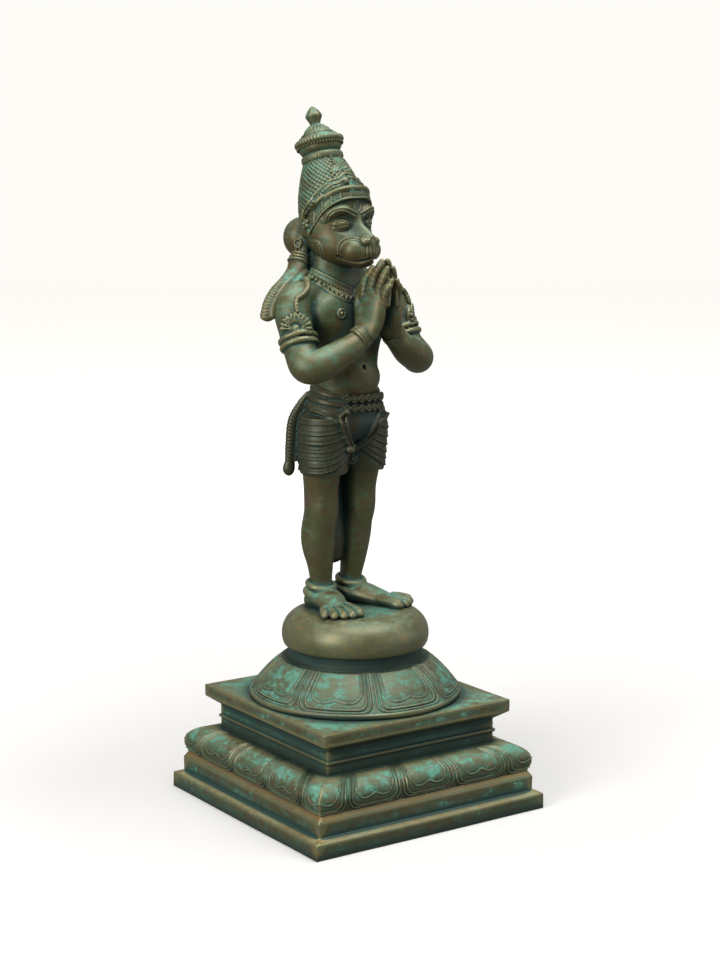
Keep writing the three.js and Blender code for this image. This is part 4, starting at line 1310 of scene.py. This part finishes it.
pad_inner = [(1.5, 242), (-3.6, 242.6), (-7.5, 241.7), (-10.4, 238.8), (-11.4, 234.9), (-10.7, 232.4)]
jaw = [(-28.1, 242.6), (-24.9, 241), (-23, 237.5), (-22, 233.6), (-21.1, 231.1)]
face_lines = [(brow_outer, 0.75), (brow_inner, 0.6), (lid_top, 0.65), (lid_inner, 0.5), (lid_low, 0.55)]
face_lines += [(pad_outer, 0.65), (pad_inner, 0.5), (jaw, 0.55)]
for line, tube in face_lines:
    head.drawn(line, tube, lift=0.2)
head.drawn([(s - 1.4, z - 0.8) for s, z in jaw], 0.5, lift=0.1)
eye_slit = [(-13, 250.9), (-10.1, 251.9), (-6.9, 252.2)]
nostril = [(2.5, 242.6), (3.4, 244.2), (5.4, 244.8), (7.3, 243.9), (7.6, 242)]
mouth = [(-12.7, 232), (-8.8, 230.1), (-4.9, 228.8), (0.2, 228.5), (4.1, 229.2), (8, 230.4)]
head.drawn(eye_slit, 0.7, lift=0.2, carve=True)
head.drawn(nostril, 0.55, lift=0.2)
head.drawn(mouth, 1.15, carve=True)
whiskers = [[(5.4, 238.8), (5.4, 231.7)], [(7.3, 239.4), (7.6, 231.7)], [(9.2, 240.1), (9.9, 233)]]
for whisker in whiskers:
    head.drawn(whisker, 0.5, carve=True)
forehead_mark = [(-2.3, 266.5), (-2, 263.7), (-0.7, 261.4), (0.9, 261.4), (2.1, 263.3), (1.8, 266.5)]
head.drawn(forehead_mark, 0.5, lift=0.2, both=False)
earrings = [((-38.4, 240.7), 2.6), ((-38.1, 236.2), 1.6)]
for mark, radius in earrings:
    for spot, way in head.spot(mark):
        head.hoop(spot + way * 0.3, way, radius, 0.6)
face_bronze = patina("face_patina", green=-0.02, ochre=0.2, seed=7.7)
head.cast("monkey_head", face_bronze)


# Hair: one lock on each side, bound behind the ear by three rings, then a ribbon with a hatched fringe laid
# back over the shoulder. A ribbed curl, also modelled in wax, lies before each shoulder, above the armlet.
hair = Wax((-66, -8, 184), (66, 46, 246), 0.6)
hair.ball((0, 30, 228), (20, 9.4, 12), blend=2)
lock = [
    [18, 33, 240, 3.6],
    [19.4, 33, 233, 4.4],
    [22.4, 32.4, 227.4, 5.4],
    [27, 30.6, 222.4, 4.6],
    [34, 29, 218.4, 2.4],
]
ribbon = [
    [27.6, 30.4, 222, 3.0],
    [36.6, 28.2, 217.2, 2.4],
    [46, 27, 211, 2.3],
    [52.2, 26, 204.0, 2.3],
    [54.8, 25.2, 198.4, 2.3],
    [55.4, 24.8, 195.0, 2.5],
    [55.4, 24.6, 193.2, 1.5],
]
ribbon_inner = [[x - 2.2, y - 2.6, z + 0.6, r * 0.95] for x, y, z, r in ribbon[:6]]
ribbon_back = [[x - 5, y - 4.6, z - 1.6, r * 1.2] for x, y, z, r in ribbon[:5]]
for side in (-1, 1):
    hair.limb(mirrored(lock, side), blend=1.0, spread=(0, 1, 0.2), flat=1.4)
    edge = np.array((side * 0.74, 0.67, 0))
    hair.limb(mirrored(ribbon, side), blend=1.0, spread=edge, flat=1.9)
    hair.notched(mirrored(ribbon[1:], side), 2.0, 0.5, spread=edge, flat=1.9, ends=(0, 0.96))
    hair.limb(mirrored(ribbon_inner, side), blend=0.5)
    hair.limb(mirrored(ribbon_back, side), blend=1.5)
    for k in range(3):
        binding = (side * (20.2 + 1.3 * k), 32.8 - 0.3 * k, 231.6 - 1.9 * k)
        radii = (6.4 + 0.4 * k, 5.4 + 0.3 * k)
        hair.ring(binding, radii, 0.9, across=(0, 1, 0), axis=(side * -0.62, 0.15, 1), blend=0.4)
curl_marks = [
    (-34, 218.6), (-32.7, 215), (-32.7, 211.8), (-34, 209.2), (-36.6, 206.6),
    (-39.2, 204.7), (-39.9, 202.1), (-39.6, 198.9), (-39.3, 196.8),
]
curl = body.met(curl_marks, 10)
curl = curl + body.outward(curl) * 0.9
run = run_along(curl)
thick = np.interp(run / run[-1], [0, 0.25, 0.6, 1], [1.5, 2.3, 2.2, 1.6])
for side in (1, -1):
    hair.bar(curl * (side, 1, 1), thick, blend=0.4)
    hair.notched(np.column_stack([curl * (side, 1, 1), thick])[::6], 2.3, 0.45, ends=(0.2, 1))
hair_bronze = patina("hair_patina", green=-0.02, ochre=0.2, seed=4.4)
hair.cast("hair_locks", hair_bronze)


# Crown: a tall drum of lattice work on a swept headband, with a ring, a disc, a ribbed cone and a bud.
# It was turned in wax, and its band, flowers, ribs and ticks were laid on or cut before it was set on.
crown = Wax((-30, -8, 246), (30, 64, 334), 0.6)
crown_foot = np.array((0, 22.4, 257.0))
crown_tilt = math.radians(-17.4)
lean_cos, lean_sin = math.cos(crown_tilt), math.sin(crown_tilt)
crown_axis = np.array((0, -lean_sin, lean_cos))
crown_front = np.array((0, -lean_cos, -lean_sin))


def crown_point(turn, radius, height):
    """A point on the crown: turn from the front toward +x, radius and height along its own axis."""
    forward = crown_front * radius * math.cos(turn)
    return crown_foot + crown_axis * height + forward + np.array((1, 0, 0)) * radius * math.sin(turn)


def turned_on_crown(profile, detail, blend=1.0):
    """A form turned round the crown's axis in [radius, height], carved by detail(turn, height)."""
    line = np.array(profile, float)
    reach = line[:, 0].max() + 3
    low, high = line[:, 1].min(), line[:, 1].max()
    ends = np.array([crown_foot + crown_axis * low, crown_foot + crown_axis * high])
    cut, (x, y, z) = crown.window(ends.min(0) - reach, ends.max(0) + reach)
    y, z = y - crown_foot[1], z - crown_foot[2]
    height = y * crown_axis[1] + z * crown_axis[2]
    front = y * crown_front[1] + z * crown_front[2]
    radius = np.sqrt(x * x + front * front)
    side_line = np.interp(height, line[:, 1], line[:, 0])
    slope = np.interp(height, (line[1:, 1] + line[:-1, 1]) / 2, np.diff(line[:, 0]) / np.diff(line[:, 1]))
    form = (radius - side_line) / np.sqrt(1 + np.clip(slope, -3, 3) ** 2)
    form = form - detail(np.arctan2(x, front), height)
    form = np.maximum(form, np.maximum(height - high, low - height))
    crown.press(cut, form.astype(np.float32), blend)


def lattice(turn, height):
    """Slanting ribs, crossed by fainter ones the other way, with pits between and a plain strip in front."""
    pitch, low, high, front_strip, drum_radius = 3.3, -2, 36, 0.42, 17.5
    girth = drum_radius * turn
    one = np.abs(np.sin(np.pi * (girth + (height - low) * 1.05) / pitch))
    two = np.abs(np.sin(np.pi * (girth - (height - low) * 0.95) / pitch))
    ribs = 0.95 * np.exp(-((one / 0.5) ** 2)) + 0.6 * np.exp(-((two / 0.4) ** 2))
    return np.minimum(ribs, 0.95) * (height > low) * (height < high) * (np.abs(turn) > front_strip)


def fluted(turn, height):
    """Flutes down the cone and slanting hatches round the disc's rim."""
    flutes, hatches, cone_low, cone_high = 20, 44, 56.5, 62.4
    on_cone = np.clip((height - cone_low) / 1.5, 0, 1) * np.clip((cone_high - height) / 1.5, 0, 1)
    cone = 0.55 * np.sin(flutes * turn) * on_cone
    rim = 0.4 * np.sin(hatches * turn + height * 0.8) * (height > 48.2) * (height < 51.8)
    return cone + rim


def ticked(turn, height):
    """Twenty short cuts round the ring."""
    return -0.5 * (np.abs(np.sin(10 * turn)) < 0.14) * (height > 37) * (height < 41)


def facets(turn, height):
    """Six flats round the bud."""
    return -0.5 * np.abs(np.sin(3 * turn + 0.4)) * np.clip((height - 63) / 2, 0, 1)


drum = [
    [20, -6], [21.8, -3], [22.2, 2], [21.8, 8], [20.2, 16], [18.3, 22.5], [16.4, 28], [14.4, 33], [12.6, 37],
]
drum_ring = [[12.4, 36.2], [13.5, 36.8], [13.9, 38], [13.9, 39.8], [13.5, 41], [12.2, 41.6]]
disc_and_cone = [
    [10.8, 40], [11.2, 41.6], [12.6, 42.6], [13.7, 44.2], [14.2, 46], [14.2, 47.2],
    [15.2, 47.8], [16.0, 48.8], [16.2, 49.8], [15.8, 50.9], [14.9, 51.7], [12.4, 52.8],
    [10.6, 54.2], [9.4, 56.2], [7.8, 58], [5.4, 60.2], [3.4, 61.8], [3.1, 63],
]
bud = [[3.0, 61.4], [3.3, 62.4], [4.5, 64.6], [5.7, 67], [5.5, 68.2], [3.8, 71], [1.6, 73.6], [0.4, 74.3]]
turned_on_crown(drum, lattice)
turned_on_crown(drum_ring, ticked, blend=0.3)
turned_on_crown(disc_and_cone, fluted, blend=0.5)
turned_on_crown(bud, facets, blend=0.4)
disc_rings = [(12.2, 53.2, 0.6), (10.4, 55.0, 0.55)]
for radius, height, tube in disc_rings:
    centre = crown_foot + crown_axis * height
    crown.ring(centre, (radius, radius), tube, axis=crown_axis, blend=0.3, pieces=72)

# The headband is an oval cuff that widens upward, between a foot line and a top line that rise to the front.
band_middle, band_wide, band_deep, band_flare, band_end = 22.8, 24.3, 23.5, 0.09, 22.5
band_foot_line = smooth_line([
    [-1, 269.4], [0.5, 269], [3, 267.4], [6.9, 263.9], [10.5, 259.8],
    [13.8, 254.9], [17.3, 250], [22, 243], [27, 238], [50, 236],
])
band_top_line = smooth_line([
    [-1, 276], [0.5, 275.9], [2.9, 274.9], [6.7, 272.5],
    [11.6, 268.6], [18, 262.4], [22.6, 256.4], [50, 252],
])
cut, (x, y, z) = crown.window((-30, -6, 246), (30, 30, 282))
near = np.sqrt((x / band_wide) ** 2 + ((y - band_middle) / band_deep) ** 2) + 1e-6
steep = np.sqrt((x / band_wide**2) ** 2 + ((y - band_middle) / band_deep**2) ** 2) + 1e-6
foot_here = np.interp(y, band_foot_line[:, 0], band_foot_line[:, 1])
top_here = np.interp(y, band_top_line[:, 0], band_top_line[:, 1])
share = np.clip((z - foot_here) / (top_here - foot_here), 0, 1)
near = near * (1 + band_flare * share)
form = near * (near - 1) / steep - 0.4 * np.sin(np.pi * share)
form = np.maximum(form, np.maximum((foot_here - z) * 0.6, (z - top_here) * 0.9))
crown.press(cut, np.maximum(form, y - band_end).astype(np.float32), 1.0)


def on_band(turn, share, lift):
    """A point on the headband: turn from the front toward +x, share of its width up from its lower edge."""
    shrunk = 1 / (1 + band_flare * share)
    x = (band_wide * shrunk + lift) * math.sin(turn)
    y = band_middle - (band_deep * shrunk + lift) * math.cos(turn)
    foot = np.interp(y, band_foot_line[:, 0], band_foot_line[:, 1])
    top = np.interp(y, band_top_line[:, 0], band_top_line[:, 1])
    return np.array((x, y, foot + share * (top - foot)))


band_turns = np.radians(np.linspace(-84, 84, 65))
post_turns = np.radians((-75, -60, -45, -30, -13, -9, 9, 13, 30, 45, 60, 75))
band_wires = [(0.05, 0.6, 0.4), (0.86, 0.5, 0.4), (1.1, 1.5, 0.1)]
for share, tube, lift in band_wires:
    crown.bar([on_band(turn, share, lift) for turn in band_turns], tube, blend=0.4)
for turn in post_turns:
    crown.bar([on_band(turn, 0.24, 0.5), on_band(turn, 0.8, 0.5)], 0.5, blend=0.3)
crown.ball((0, 15.5, 266.5), (19, 12.6, 15), blend=2)
arch = [
    (-35.4, 256.4), (-34.2, 261), (-31.3, 265.8), (-26.8, 271.9), (-22.3, 276.4),
    (-17.2, 280.6), (-12.4, 282.1), (-10.1, 283.8), (-8.2, 285.4),
]
arch_bars = [(5.2, 1.7, -0.5), (3.0, 1.7, -0.3), (0.8, 1.0, 0.8)]
for drop, tube, lift in arch_bars:
    crown.drawn([(s, z - drop) for s, z in arch], tube, lift=lift, blend=0.6)
ticks = crown.met([(s, z - 3.2) for s, z in arch], 3)
ticks = ticks + crown.outward(ticks) * 0.3
for side in (1, -1):
    for tick in ticks:
        crown.ball(tick * (side, 1, 1), (0.75, 0.75, 0.75), blend=0.2)
flower_petals, knot_beads = 9, 5
boss = crown.spot((-7.4, 280))[0]
crown.ball(boss[0], (2.4, 1.8, 2.4), blend=0.6)
for spot, way in crown.spot((-13.6, 286.2)):
    level = np.cross(way, (0, 0, 1.0))
    level /= np.linalg.norm(level)
    upright = np.cross(level, way)
    for k in range(flower_petals):
        turn = 2 * math.pi * k / flower_petals
        tip = spot + level * (3.6 * math.cos(turn)) + upright * (3.6 * math.sin(turn))
        crown.bar([spot + way * 0.4, tip + way * 0.2], [0.5, 0.95], blend=0.25)
    crown.ball(spot + way * 0.6, (1.3, 1.3, 1.3), blend=0.3)
chevrons, chevron_foot, chevron_pitch = 6, 27.0, 1.7
for k in range(chevrons):
    height = chevron_foot + chevron_pitch * k
    radius = np.interp(height, [22.5, 28, 33, 37], [18.5, 16.6, 14.6, 12.8]) + 0.1
    for way in (-1, 1):
        tip = crown_point(way * 0.34, radius, height + 1.2)
        crown.bar([crown_point(0, radius, height - 1.6), tip], 0.5, blend=0.3)
for side in (-1, 1):
    knot = np.array((side * 24.2, 23.6, 253.2))
    for k in range(knot_beads):
        turn = 2 * math.pi * k / knot_beads
        around = np.array((0, 2.5 * math.cos(turn), 2.5 * math.sin(turn)))
        crown.ball(knot + around, (1.5, 1.5, 1.5), blend=0.3)
    crown.ball(knot + np.array((side * 1.0, 0, 0)), (1.3, 1.3, 1.3), blend=0.3)
crown_bronze = patina("crown_patina", green=0.02, ochre=0.3, seed=6.3)
crown.cast("tall_crown", crown_bronze)
bead_pitch, bead_ring_radius, bead_ring_height = 2.0, 14.9, 46.9

# The ring ends one pitch short of its start, so that the last bead doesn't double the first.
bead_turns = np.linspace(0, 2 * math.pi - bead_pitch / bead_ring_radius, 97)
bead_ring = [crown_point(turn, bead_ring_radius, bead_ring_height) for turn in bead_turns]
beaded("crown_beads", [np.array(bead_ring)], bead_pitch, 0.8)
